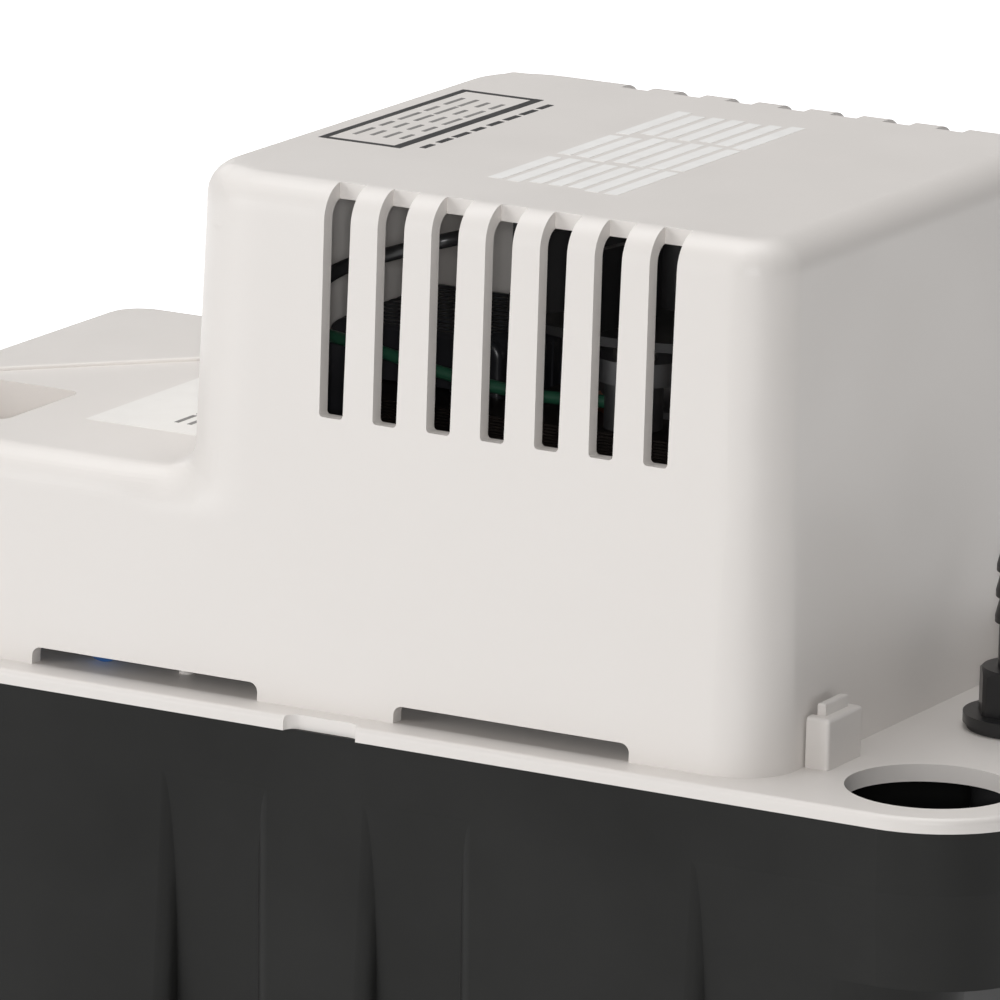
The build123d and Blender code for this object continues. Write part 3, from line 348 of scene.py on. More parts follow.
def bare_metal(name, colour, second, roughness, stretch=(1.0, 1.0, 30.0), scale=60.0, depth=0.00002,
               grain=None):
    """Metal with drawn lines, or a cast grain where one is given, and soft stains."""
    material, tree, shader = start_material(name, metallic=1.0)
    patch = place_group(tree, "mottle", {"First": opaque(colour), "Second": opaque(second),
                                         "Scale": 70.0, "Contrast": 2.2})
    skin = place_group(tree, "moulded_grain", {"Scale": 1.0 / (grain or POLISH_GRAIN), "Ripple": 0.8,
                                               "Roughness": roughness, "Spread": 0.25})
    send(tree, shader, {"Base Color": patch.outputs["Color"], "Roughness": skin.outputs["Roughness"]})
    height = skin.outputs["Height"]
    if not grain:
        height = place_group(tree, "drawn_lines", {"Stretch": stretch, "Scale": scale}).outputs["Height"]
    raise_surface(tree, shader, height, depth)
    return material


def coat(names, material):
    """Gives CAD nodes a material in all their slots."""
    for name in names:
        mesh = frame["nodes"][name].data
        mesh.materials.clear()
        mesh.materials.append(material)


# Geometry helpers

def geometry_tree(name, inputs):
    """An empty geometry tree, the outputs of its input node, and its output node."""
    tree = bpy.data.node_groups.new(name, "GeometryNodeTree")
    tree.is_modifier = True
    tree.interface.new_socket("Geometry", in_out="INPUT", socket_type="NodeSocketGeometry")
    add_inputs(tree, inputs)
    tree.interface.new_socket("Material", in_out="INPUT", socket_type="NodeSocketMaterial")
    tree.interface.new_socket("Geometry", in_out="OUTPUT", socket_type="NodeSocketGeometry")
    return tree, tree.nodes.new("NodeGroupInput").outputs, tree.nodes.new("NodeGroupOutput")


def position(tree):
    """The place of each point."""
    return put(tree, "GeometryNodeInputPosition").outputs[0]


def finish_tree(tree, given, result, geometry):
    """Ends a tree in Realize Instances and Set Material."""
    realized = put(tree, "GeometryNodeRealizeInstances", {0: geometry}).outputs[0]
    painted = put(tree, "GeometryNodeSetMaterial", {"Geometry": realized, "Material": given["Material"]})
    return send(tree, result, {0: painted.outputs[0]})


def on_points(tree, points, instance, **more):
    """Copies of one mesh on points."""
    inputs = {"Points": points, "Instance": instance, **more}
    return put(tree, "GeometryNodeInstanceOnPoints", inputs).outputs[0]


def moved(tree, geometry, offset):
    """Geometry moved by an offset."""
    return put(tree, "GeometryNodeTransform", {"Geometry": geometry, "Translation": offset}).outputs[0]


def set_place(tree, geometry, **where):
    """Geometry whose points get a new position or an offset."""
    return put(tree, "GeometryNodeSetPosition", {"Geometry": geometry, **where}).outputs[0]


def gathered(tree, *parts):
    """Several geometries as one."""
    made = put(tree, "GeometryNodeJoinGeometry")
    for part in parts:
        tree.links.new(part, made.inputs[0])
    return made.outputs[0]


def show(name, data):
    """A new object in the scene."""
    made = bpy.data.objects.new(name, data)
    bpy.context.scene.collection.objects.link(made)
    return made


def mesh_from(name, work):
    """A mesh from a bmesh, which is freed."""
    mesh = bpy.data.meshes.new(name)
    work.to_mesh(mesh)
    work.free()
    return mesh


def grow(name, base, tree, values, body, replaced=()):
    """An object whose mesh a geometry tree has grown from a base mesh, riding on a body."""
    piece = show(name, base)
    modifier = piece.modifiers.new("grow", "NODES")
    modifier.node_group = tree
    for item in tree.interface.items_tree:
        if item.item_type == "SOCKET" and item.in_out == "INPUT" and item.name in values:
            modifier[item.identifier] = values[item.name]
    seen = piece.evaluated_get(bpy.context.evaluated_depsgraph_get())
    mesh = bpy.data.meshes.new_from_object(seen)
    piece.modifiers.remove(modifier)
    piece.data = mesh
    if not mesh.polygons:
        raise RuntimeError(f"{name} has no faces")
    settle(piece, body, replaced)


def settle(piece, body, replaced=()):
    """Puts a finished piece on its body and in the place of CAD nodes."""
    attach(piece, body)
    if replaced:
        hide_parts(*replaced)


def points_mesh(name, points):
    """A mesh of loose points for a tree to put its copies on."""
    mesh = bpy.data.meshes.new(name)
    mesh.from_pydata([tuple(p) for p in points], [], [])
    return mesh


def merged_copy(node):
    """A CAD node's mesh as one clean bmesh with its doubles merged."""
    work = bmesh.new()
    work.from_mesh(frame["nodes"][node].data)
    bmesh.ops.remove_doubles(work, verts=work.verts, dist=1e-6)
    return work


def loose_boxes(node):
    """The lowest and highest corner of each separate solid in a CAD node."""
    work = merged_copy(node)
    left = set(work.verts)
    boxes = []
    while left:
        solid = {left.pop()}
        border = list(solid)
        while border:
            vertex = border.pop()
            for edge in vertex.link_edges:
                other = edge.other_vert(vertex)
                if other in left:
                    left.remove(other)
                    solid.add(other)
                    border.append(other)
        boxes.append(tuple(Vector(pick(v.co[i] for v in solid) for i in range(3)) for pick in (min, max)))
    work.free()
    return sorted(boxes, key=lambda pair: tuple(pair[0]))


# The stage

class PUMP_OT_stage(Operator):
    """Camera, lamps, sky and floor"""
    bl_idname = "pump.stage"
    bl_label = "Stage"

    def execute(self, context):
        studio = context.scene.pump_studio
        self.camera(context, studio)
        self.lamps(studio)
        self.sky(context, studio)
        self.floor(studio)
        context.scene.view_settings.view_transform = "Standard"
        return {"FINISHED"}

    def camera(self, context, studio):
        """Stands the camera at its angle and distance from the aim, and turns it by the roll."""
        az, el, roll = studio.azimuth, studio.elevation, studio.roll
        back = Vector((sin(az) * cos(el), -cos(az) * cos(el), sin(el)))
        right = Vector((cos(az), sin(az), 0.0))
        up = back.cross(right)
        turned = cos(roll) * right + sin(roll) * up
        upright = back.cross(turned)
        lens = bpy.data.cameras.new("camera")
        lens.lens = studio.lens
        lens.clip_start = 0.1
        lens.clip_end = 50.0
        camera = show("camera", lens)
        facing = Matrix((turned, upright, back)).transposed().to_4x4()
        camera.matrix_world = Matrix.Translation(Vector(studio.aim) + studio.distance * back) @ facing
        context.scene.camera = camera

    def lamps(self, studio):
        """A small lamp beside the camera, broad ones at the front left and behind, and one overhead."""
        middle = (cad_box[0] + cad_box[1]) / 2
        places = (("key_lamp", Vector((0.87, -1.60, 0.46)), 0.08, studio.key),
                  ("side_lamp", Vector((-1.15, -1.35, 0.30)), 1.0, studio.side),
                  ("top_lamp", Vector((-0.2, 0.1, 1.7)), 1.4, studio.top),
                  ("back_lamp", Vector((-1.45, 1.0, 0.9)), 1.0, studio.back))
        for name, offset, size, power in places:
            light = bpy.data.lights.new(name, "AREA")
            light.energy = power
            light.size = size
            lamp = show(name, light)
            lamp.location = middle + offset
            lamp.rotation_euler = offset.to_track_quat("Z", "Y").to_euler()

    def sky(self, context, studio):
        world = bpy.data.worlds.new("sky")
        world.use_nodes = True
        context.scene.world = world
        background = world.node_tree.nodes["Background"]
        background.inputs["Color"].default_value = WHITE
        background.inputs["Strength"].default_value = studio.fill

    def floor(self, studio):
        """A wide floor that is white to the camera and still keeps the pump's shadow."""
        half = 12.0
        mesh = bpy.data.meshes.new("floor")
        mesh.from_pydata([(-half, -half, 0), (half, -half, 0), (half, half, 0), (-half, half, 0)], [],
                         [(0, 1, 2, 3)])
        floor = show("floor", mesh)
        material, tree, shader = start_material("floor_paint")
        shader.inputs["Roughness"].default_value = 0.9
        shader.inputs["Base Color"].default_value = opaque(studio.floor)
        shader.inputs["Emission Color"].default_value = WHITE
        ray = put(tree, "ShaderNodeLightPath").outputs
        direct = calc(tree, "MAXIMUM", ray["Is Camera Ray"], ray["Is Glossy Ray"])
        seen = calc(tree, "MAXIMUM", direct, ray["Is Transmission Ray"])
        send(tree, shader, {"Emission Strength": calc(tree, "MULTIPLY", seen, studio.floor_glow)})
        mesh.materials.append(material)


# The pump's own pieces

def corner_reach(across, along, span, radius):
    """How far a round corner lies from the inner corner of a square of side `span`, in one direction.

    The direction is (-across, -along), and the corner of the outline has the given radius."""
    flat = span - radius
    side = span / max(across, along)
    if span - side * min(across, along) >= radius:
        return side
    both = flat * (across + along)
    return both + max(both * both - 2 * flat * flat + radius * radius, 0.0) ** 0.5


def reround(first, second, span, old, new):
    """Moves a point in a corner square so that a corner of radius `old` there gets the radius `new`.

    Both distances are from the two outer faces that meet in the corner."""
    inner_first, inner_second = span - first, span - second
    if inner_first <= 0 or inner_second <= 0:
        return first, second
    far = (inner_first ** 2 + inner_second ** 2) ** 0.5
    across, along = inner_first / far, inner_second / far
    scale = corner_reach(across, along, span, new) / corner_reach(across, along, span, old)
    return span - inner_first * scale, span - inner_second * scale


def shade_by_area(mesh, alike):
    """Sets each face corner's normal to the mean of the faces there that point nearly the same way.

    Large faces count for more, so flat walls stay flat beside their roundings. `alike` is the lowest
    cosine between two such faces."""
    around = [[] for _ in mesh.vertices]
    faces = []
    for face in mesh.polygons:
        own = (*face.normal, face.area)
        faces.append(own)
        for vertex in face.vertices:
            around[vertex].append(own)
    normals = []
    for face, (x, y, z, _) in zip(mesh.polygons, faces):
        for vertex in face.vertices:
            total = [0.0, 0.0, 0.0]
            for other_x, other_y, other_z, area in around[vertex]:
                if x * other_x + y * other_y + z * other_z > alike:
                    total[0] += area * other_x
                    total[1] += area * other_y
                    total[2] += area * other_z
            size = (total[0] ** 2 + total[1] ** 2 + total[2] ** 2) ** 0.5
            normals.append([value / size for value in total] if size else (x, y, z))
    mesh.normals_split_custom_set(normals)


def ease(value):
    """A smooth rise from 0 to 1."""
    value = min(max(value, 0.0), 1.0)
    return value * value * (3.0 - 2.0 * value)


def in_millimetres(node):
    """A CAD node's merged mesh at a scale of one unit to the millimetre."""
    work = merged_copy(node)
    bmesh.ops.scale(work, vec=(1 / MM,) * 3, verts=work.verts)
    return work


def stand_in(name, work, plastic, body, node):
    """Turns a reworked moulding into a piece with clean shading that takes its node's place."""
    bmesh.ops.scale(work, vec=(MM,) * 3, verts=work.verts)
    for face in work.faces:
        face.smooth = True
    mesh = mesh_from(name, work)
    mesh.materials.append(plastic)
    shade_by_area(mesh, cos(SMOOTH_ANGLE))
    settle(show(name, mesh), body, [node])


class CoverShape:
    """The motor cover as the CAD node has it, in millimetres, and the bends that it is given."""

    # Inwards lean of the walls for each millimetre of height
    slope = tan(radians(1.03))

    # The tall part's left wall at the step, and half the cover's width at its foot
    step_left = -19.8
    half_width = 58.4

    # Radii that the source gives to the tall part's upright corners and top edge
    plain_corner = 6.0
    plain_edge = 10.0

    # The rear slots; how far inside the wall their cutters start, and how tall these are
    slot_first = 12.4
    slot_pitch = 10.22
    slot_count = 7
    slot_width = 5.2
    cutter_start = 4.0
    cutter_height = 12.0

    # How far under the step the wider corners start, and the height over which they grow
    rise_below = 7.0
    rise_over = 8.0

    # They fade out over this distance left of the tall part's wall
    fade = 10.0

    def __init__(self, shell):
        low, high = (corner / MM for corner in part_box("motor_cover"))
        self.base = low.z
        self.top = high.z
        self.step = self.top - LOW_TOP_DROP
        self.step_corner = shell.step_corner / MM
        self.top_corner = shell.top_corner / MM
        self.rear_reach = shell.rear_reach / MM

    def cut_slots(self, work):
        """Cuts the rear slots forwards, so that their ends show as dips in the top's back edge."""
        wall = self.half_width - (self.top - self.base) * self.slope
        front = wall - self.rear_reach
        back = wall - self.cutter_start
        cutter = bmesh.new()
        for number in range(self.slot_count):
            x = self.slot_first + self.slot_pitch * number
            for vertex in bmesh.ops.create_cube(cutter, size=1.0)["verts"]:
                vertex.co.x = x + vertex.co.x * self.slot_width
                vertex.co.y = (front + back) / 2 + vertex.co.y * (back - front)
                vertex.co.z = self.top + vertex.co.z * self.cutter_height
        solids = [show(name, mesh_from(name, shape))
                  for name, shape in (("cover_solid", work), ("slot_cutters", cutter))]
        cut = solids[0].modifiers.new("slots", "BOOLEAN")
        cut.operation = "DIFFERENCE"
        cut.solver = "EXACT"
        cut.object = solids[1]
        seen = solids[0].evaluated_get(bpy.context.evaluated_depsgraph_get())
        result = bmesh.new()
        result.from_mesh(bpy.data.meshes.new_from_object(seen))
        for solid in solids:
            bpy.data.objects.remove(solid)
        return result

    def refine(self, work):
        """Divides the faces round the step finely enough to be bent."""
        span = self.step_corner
        spare = 2.0
        left, right = self.step_left - span, self.step_left + span + spare
        foot = self.step - 10.0

        # Where each band of cuts starts, and how far it reaches
        step_band = (self.step - 9.0, 14.0)
        top_band = (self.top - 11.0, 11.0)
        side_band = span + 3.0
        steps = 14
        planes = []
        for part in (number / steps for number in range(steps + 1)):
            planes.append(((1, 0, 0), left + part * (right - left)))
            for start, reach in (step_band, top_band):
                planes.append(((0, 0, 1), start + part * reach))
            for side in (-1, 1):
                planes.append(((0, 1, 0), side * (self.half_width - part * side_band)))
        for normal, offset in planes:
            near = [face for face in work.faces
                    if max(v.co.x for v in face.verts) > left and min(v.co.x for v in face.verts) < right
                    and max(v.co.z for v in face.verts) > foot]
            edges = {edge for face in near for edge in face.edges}
            verts = {vertex for face in near for vertex in face.verts}
            bmesh.ops.bisect_plane(work, geom=[*verts, *edges, *near], plane_no=normal,
                                   plane_co=tuple(offset * axis for axis in normal), dist=1e-4)
        bmesh.ops.triangulate(work, faces=[face for face in work.faces if len(face.verts) > 3])

    def bend(self, point):
        """Sharpens the tall part's top left edge and gives its left corners their wider rounding."""
        wall = self.step_left + (point.z - self.step) * self.slope
        edge = self.plain_edge
        if point.z > self.top - edge:
            wall = self.step_left + (self.top - self.step) * self.slope
            across, down = reround(point.x - wall, self.top - point.z, edge, edge, self.top_corner)
            point.x, point.z = wall + across, self.top - down
        span = self.step_corner
        depth = self.half_width - (point.z - self.base) * self.slope - abs(point.y)
        across = point.x - wall
        rise = ease((point.z - self.step + self.rise_below) / self.rise_over)
        if rise > 0 and across < span and depth < span:
            inner_across, inner_depth = max(across, 0.0), max(depth, 0.0)
            new_across, new_depth = reround(inner_across, inner_depth, span, self.plain_corner, span)
            share_moved = rise * ease(1.0 + across / self.fade)
            side = 1 if point.y > 0 else -1
            point.x += share_moved * (new_across - inner_across)
            point.y -= side * share_moved * (new_depth - inner_depth)


class PUMP_OT_shell(Operator):
    """The pale mouldings: the motor cover and the deck"""
    bl_idname = "pump.shell"
    bl_label = "Cover and deck"

    def execute(self, context):
        shell = context.scene.pump_shell
        plastic = moulded("shell_plastic", shell.colour, shell.aged, shell.roughness, shell.grain,
                          depth=0.000004, patches=6.0, dust=0.03)
        self.cover(shell, plastic)
        self.deck(shell, plastic)
        return {"FINISHED"}

    def cover(self, shell, plastic):
        """The cover, its tall part's left corners rounded and its rear slots cut further into the top."""
        shape = CoverShape(shell)
        work = shape.cut_slots(in_millimetres("motor_cover"))
        shape.refine(work)
        for vertex in work.verts:
            shape.bend(vertex.co)
        stand_in("cover_moulding", work, plastic, "cover", "motor_cover")

    def deck(self, shell, plastic):
        """The deck, its inlet collars cut to the short lips that show through the holes."""
        work = in_millimetres("deck")
        collar_wall = 2.1
        tolerance = 0.01
        for mount in frame["record"]["mounts"]:
            if not mount["name"].startswith("inlet"):
                continue
            x, y, z = (value / MM for value in mount["pos_m"])
            half = mount["dims"]["length_mm"] / 2
            reach = mount["dims"]["r_mm"] + collar_wall
            for vertex in work.verts:
                away = ((vertex.co.x - x) ** 2 + (vertex.co.y - y) ** 2) ** 0.5
                if away < reach and abs(vertex.co.z - (z - half)) < tolerance:
                    vertex.co.z = z + half - shell.lip / MM
        stand_in("deck_moulding", work, plastic, "deck", "deck")


def flat_boxes(name, spans, z_span, material):
    """Thin printed boxes on the cover as one object; each is given by its x and y spans in millimetres."""
    work = bmesh.new()
    for x_span, y_span in spans:
        made = bmesh.ops.create_cube(work, size=1.0)["verts"]
        for vertex in made:
            for axis, span in enumerate((x_span, y_span, z_span)):
                vertex.co[axis] = (span[0] + (vertex.co[axis] + 0.5) * (span[1] - span[0])) * MM
    mesh = mesh_from(name, work)
    mesh.materials.append(material)
    settle(show(name, mesh), "cover")


class PUMP_OT_prints(Operator):
    """Plain ruled panels, without any words, on the cover's two tops"""
    bl_idname = "pump.prints"
    bl_label = "Printed panels"

    def execute(self, context):
        prints = context.scene.pump_print
        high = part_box("motor_cover")[1].z / MM
        low = high - LOW_TOP_DROP
        # The pale ink is a painted highlight for the embossed lines on the tall top; the other inks are
        # print.
        inks = {name: moulded(f"{name}_ink", colour, second, 0.5, 0.0003, depth=0.000002, patches=220.0)
                for name, colour, second in (("dark", prints.ink, (0.05, 0.049, 0.048)),
                                             ("faded", prints.faded, (0.30, 0.29, 0.28)),
                                             ("pale", prints.pale, (0.86, 0.845, 0.825)),
                                             ("film", prints.film, (0.83, 0.805, 0.775)))}
        lift = prints.thickness / MM
        on_high = (high - lift, high + lift)
        on_low = (low - lift, low + lift)
        flat_boxes("dark_frame", [((-11.6, -10.2), (-21.4, 30.2)), ((2.6, 4.4), (-21.4, 30.2)),
                                  ((-10.3, 2.7), (-21.3, -20.0)), ((-10.3, 2.7), (28.8, 30.1))], on_high,
                   inks["dark"])
        flat_boxes("low_film", [((-51.0, -22.6), (-30.5, 20.5))], on_low, inks["film"])
        tree = make_rules_tree()
        raised = 2 * prints.thickness
        columns = ("Rows", "Pitch", "Reach", "Pieces", "Width", "Seed", "Shortest")
        for name, middle, ink, *values in (
                ("frame_rules", (-3.6, 4.0, high), "faded", 4, 0.0028, 0.040, 5, 0.0008, 4, 0.5),
                ("edge_rules", (7.4, 4.0, high), "dark", 1, 0.003, 0.048, 8, 0.0012, 2, 0.5),
                # The pale rules are raised like the embossed lines, and their pale ink is a painted
                # highlight on them.
                ("embossed_highlight_rules", (40.5, 0.5, high), "pale", 7, 0.0037, 0.070, 3, 0.0026, 9, 0.82),
                ("low_rules", (-31.5, -8.0, low + lift), "faded", 5, 0.0026, 0.034, 4, 0.0009, 5, 0.5)):
            looks = {"Thickness": raised, "Material": inks[ink], **dict(zip(columns, values))}
            grow(name, points_mesh(name, [Vector(middle) * MM]), tree, looks, "cover")
        return {"FINISHED"}


class PUMP_OT_tank(Operator):
    """The black reservoir"""
    bl_idname = "pump.tank"
    bl_label = "Reservoir"

    def execute(self, context):
        tank = context.scene.pump_tank
        coat(["tank"], moulded("tank_plastic", tank.colour, tank.scuffed, tank.roughness, tank.grain,
                               depth=0.00001, patches=14.0, specular=0.12))
        return {"FINISHED"}


def first_point(tree, points):
    """The place of the base mesh's first point."""
    return put(tree, "GeometryNodeSampleIndex", {"Geometry": points, "Value": position(tree)},
               data_type="FLOAT_VECTOR", domain="POINT").outputs[0]


def make_rules_tree():
    """Rows of plain raised rules along Y, for print and for embossed lines, each a little shorter than its
    place by a random amount.
    """
    tree, given, result = geometry_tree("printed_rules", {
        "Rows": 7, "Pitch": 0.0035, "Reach": 0.07, "Pieces": 3, "Width": 0.0016, "Thickness": 0.00005,
        "Shortest": 0.5, "Seed": 3})
    piece = calc(tree, "DIVIDE", given["Reach"], given["Pieces"])
    gaps = calc(tree, "SUBTRACT", given["Rows"], 1.0)
    places = put(tree, "GeometryNodeMeshGrid", {
        "Size X": calc(tree, "MULTIPLY", gaps, given["Pitch"]),
        "Size Y": calc(tree, "SUBTRACT", given["Reach"], piece),
        "Vertices X": given["Rows"], "Vertices Y": given["Pieces"]}).outputs["Mesh"]
    spots = moved(tree, places, first_point(tree, given["Geometry"]))
    size = xyz(tree, given["Width"], piece, given["Thickness"])
    rule = put(tree, "GeometryNodeMeshCube", {"Size": size}).outputs["Mesh"]
    part = put(tree, "FunctionNodeRandomValue", {2: given["Shortest"], "Seed": given["Seed"]},
               data_type="FLOAT").outputs[1]
    return finish_tree(tree, given, result, on_points(tree, spots, rule, Scale=xyz(tree, 1.0, part, 1.0)))


def make_stack_tree():
    """Copies one sheet upwards at an even pitch."""
    tree, given, result = geometry_tree("sheet_stack", {"Count": 40, "Pitch": 0.00055})
    step = xyz(tree, z=given["Pitch"])
    line = put(tree, "GeometryNodeMeshLine", {"Count": given["Count"], "Offset": step}, mode="OFFSET")
    return finish_tree(tree, given, result, on_points(tree, line.outputs[0], given["Geometry"]))


class PUMP_OT_stator(Operator):
    """The stator's stack of thin varnished sheets"""
    bl_idname = "pump.stator"
    bl_label = "Stator sheets"

    def execute(self, context):
        motor = context.scene.pump_motor
        low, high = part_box("stator_laminations")
        count = round((high.z - low.z) / motor.sheet)
        pitch = (high.z - low.z) / count
        work = merged_copy("stator_laminations")
        for vertex in work.verts:
            if vertex.co.z > (low.z + high.z) / 2:
                vertex.co.z = low.z + pitch - motor.sheet_gap
        sheet = mesh_from("stator_sheet", work)
        varnish = bare_metal("varnished_steel", motor.varnish, (0.09, 0.07, 0.06), 0.42, depth=0.000006,
                             grain=0.0009)
        grow("stator_stack", sheet, make_stack_tree(), {"Count": count, "Pitch": pitch, "Material": varnish},
             "deck", ["stator_laminations"])
        return {"FINISHED"}


def make_laps_tree():
    """Steps a coil's skin inwards to its core in even laps along Y, as tape leaves it."""
    tree, given, result = geometry_tree("tape_laps", {"Core": (0.0, 0.0, 0.0), "Lap": 0.0027, "Step": 0.012})
    both = {0: position(tree), 1: given["Core"]}
    from_core = put(tree, "ShaderNodeVectorMath", both, operation="SUBTRACT")
    x, y, z = parts_of(tree, from_core.outputs[0])
    part = calc(tree, "FRACT", calc(tree, "DIVIDE", y, given["Lap"]))
    inwards = calc(tree, "MULTIPLY", calc(tree, "MULTIPLY", part, given["Step"]), -1.0)
    offset = xyz(tree, calc(tree, "MULTIPLY", x, inwards), 0.0, calc(tree, "MULTIPLY", z, inwards))
    return finish_tree(tree, given, result, set_place(tree, given["Geometry"], Offset=offset))


class PUMP_OT_coil(Operator):
    """The coil on the stator's core, wound with tape in laps"""
    bl_idname = "pump.coil"
    bl_label = "Coil"

    def execute(self, context):
        motor = context.scene.pump_motor
        low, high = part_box("motor_coil")
        core = (low + high) / 2
        lap = (high.y - low.y) / motor.tape_turns
        work = merged_copy("motor_coil")
        edge_share = 0.06
        edge = lap * edge_share
        for number in range(1, motor.tape_turns):
            for spot in (low.y + number * lap - edge, low.y + number * lap + edge):
                bmesh.ops.bisect_plane(work, geom=work.verts[:] + work.edges[:] + work.faces[:],
                                       plane_co=(0, spot, 0), plane_no=(0, 1, 0))
        skin = mesh_from("coil_skin", work)
        core.y = low.y
        skin_radius = 0.02
        tape = moulded("coil_tape", motor.tape, (0.03, 0.03, 0.034), 0.34, 0.0011, depth=0.00003,
                       patches=90.0, spread=0.3)
        grow("taped_coil", skin, make_laps_tree(), {
            "Core": core, "Lap": lap, "Step": motor.tape_step / skin_radius, "Material": tape},
            "deck", ["motor_coil"])
        coat(["shading_rings"], bare_metal("bare_copper", (0.72, 0.34, 0.20), (0.42, 0.19, 0.12), 0.32,
                                           scale=90.0))
        return {"FINISHED"}


class PUMP_OT_rotor(Operator):
    """The rotor, its shaft, the cooling fan and the impeller"""
    bl_idname = "pump.rotor"
    bl_label = "Rotor and fan"

    def execute(self, context):
        coat(["rotor_core"], bare_metal("rotor_metal", (0.42, 0.42, 0.43), (0.25, 0.24, 0.24), 0.38,
                                        stretch=(1.0, 1.0, 0.05), scale=400.0))
        coat(["motor_shaft", "float_rod", "pivot_pin", "rod_clips"],
             bare_metal("ground_steel", (0.60, 0.60, 0.61), (0.46, 0.45, 0.44), 0.22,
                        stretch=(30.0, 30.0, 1.0), scale=60.0, depth=0.000005))
        coat(["cooling_fan"], moulded("fan_plastic", (0.012, 0.012, 0.013), (0.022, 0.021, 0.021), 0.38,
                                      0.0006, dust=0.12))
        coat(["impeller"], moulded("impeller_plastic", (0.03, 0.03, 0.032), (0.05, 0.05, 0.052), 0.42,
                                   0.0005))
        coat(["water_slinger", "valve_gasket", "cord_grommet"],
             moulded("black_rubber", (0.018, 0.018, 0.018), (0.035, 0.034, 0.033), 0.68, 0.0004,
                     depth=0.00002))
        return {"FINISHED"}


class PUMP_OT_brackets(Operator):
    """The die-cast brackets and the bronze bearings"""
    bl_idname = "pump.brackets"
    bl_label = "Brackets and bearings"

    def execute(self, context):
        # The die-cast metal is a dull grey, darkened further below bare zinc as painted shade so that the
        # brackets stay as dark as the shade inside the cover.
        coat(["upper_bracket", "lower_bracket"],
             bare_metal("shade_darkened_casting", (0.27, 0.27, 0.275), (0.18, 0.18, 0.185), 0.46, depth=0.00003,
                        grain=0.0007))
        coat(["upper_bearing", "lower_bearing"],
             bare_metal("sintered_bronze", (0.50, 0.33, 0.16), (0.33, 0.21, 0.11), 0.44, depth=0.00002,
                        grain=0.00025))
        return {"FINISHED"}


def threaded_shank(tree, given, x, y, z):
    """A cylinder below the origin whose side waves in and out along a helix."""
    rings_per_turn = 6.0
    turns = calc(tree, "DIVIDE", given["Shank Length"], given["Pitch"])
    rings = calc(tree, "ROUND", calc(tree, "MULTIPLY", turns, rings_per_turn))
    shank = put(tree, "GeometryNodeMeshCylinder", {
        "Vertices": 20, "Side Segments": rings, "Radius": given["Shank Radius"],
        "Depth": given["Shank Length"]}).outputs["Mesh"]
    climb = calc(tree, "MULTIPLY", calc(tree, "DIVIDE", z, given["Pitch"]), 2 * pi)
    wave = calc(tree, "SINE", calc(tree, "SUBTRACT", climb, calc(tree, "ARCTAN2", y, x)))
    half_thread = calc(tree, "MULTIPLY", given["Thread"], 0.5)
    shrink = calc(tree, "ADD", calc(tree, "MULTIPLY", calc(tree, "SUBTRACT", wave, 1.0), half_thread), 1.0)
    place = xyz(tree, calc(tree, "MULTIPLY", x, shrink), calc(tree, "MULTIPLY", y, shrink), z)
    drop = calc(tree, "MULTIPLY", given["Shank Length"], -0.5)
    return moved(tree, set_place(tree, shank, Position=place), xyz(tree, z=drop))


def recessed_head(tree, given, x, y, z):
    """A domed head above the origin with a cross cut into it."""
    dome_fall = 0.24
    height, radius = given["Head Height"], given["Head Radius"]
    half_height = calc(tree, "MULTIPLY", height, 0.5)
    head = put(tree, "GeometryNodeMeshCylinder", {"Vertices": 32, "Side Segments": 5, "Radius": radius,
                                                  "Depth": height}).outputs["Mesh"]
    climb = calc(tree, "ADD", calc(tree, "DIVIDE", z, height), 0.5)
    fall = calc(tree, "MULTIPLY", calc(tree, "POWER", climb, 3.0), dome_fall)
    bulge = calc(tree, "SUBTRACT", 1.0, fall)
    place = xyz(tree, calc(tree, "MULTIPLY", x, bulge), calc(tree, "MULTIPLY", y, bulge), z)
    dome = set_place(tree, head, Position=place)
    wide = calc(tree, "MULTIPLY", radius, given["Recess Width"])
    long = calc(tree, "MULTIPLY", calc(tree, "MULTIPLY", radius, 2.0), given["Recess Length"])
    arms = []
    for across, along in ((wide, long), (long, wide)):
        arm = put(tree, "GeometryNodeMeshCube", {"Size": xyz(tree, across, along, height)}).outputs["Mesh"]
        arms.append(moved(tree, arm, xyz(tree, z=half_height)))
    solids = {"Mesh 1": dome, "Mesh 2": gathered(tree, *arms), "Self Intersection": True}
    cut = put(tree, "GeometryNodeMeshBoolean", solids, solver="EXACT", operation="DIFFERENCE")
    return moved(tree, cut.outputs["Mesh"], xyz(tree, z=half_height))


def make_screw_tree():
    """A threaded screw with a round head and a cross recess on every point."""
    tree, given, result = geometry_tree("machine_screws", {
        "Head Radius": 0.0038, "Head Height": 0.0026, "Shank Radius": 0.002, "Shank Length": 0.03,
        "Pitch": 0.0007, "Thread": 0.12, "Recess Width": 0.26, "Recess Length": 0.62,
        "Turn": (0.0, 0.0, 0.0)})
    x, y, z = parts_of(tree, position(tree))
    screw = gathered(tree, threaded_shank(tree, given, x, y, z), recessed_head(tree, given, x, y, z))
    copies = on_points(tree, given["Geometry"], screw, Rotation=given["Turn"])
    return finish_tree(tree, given, result, copies)


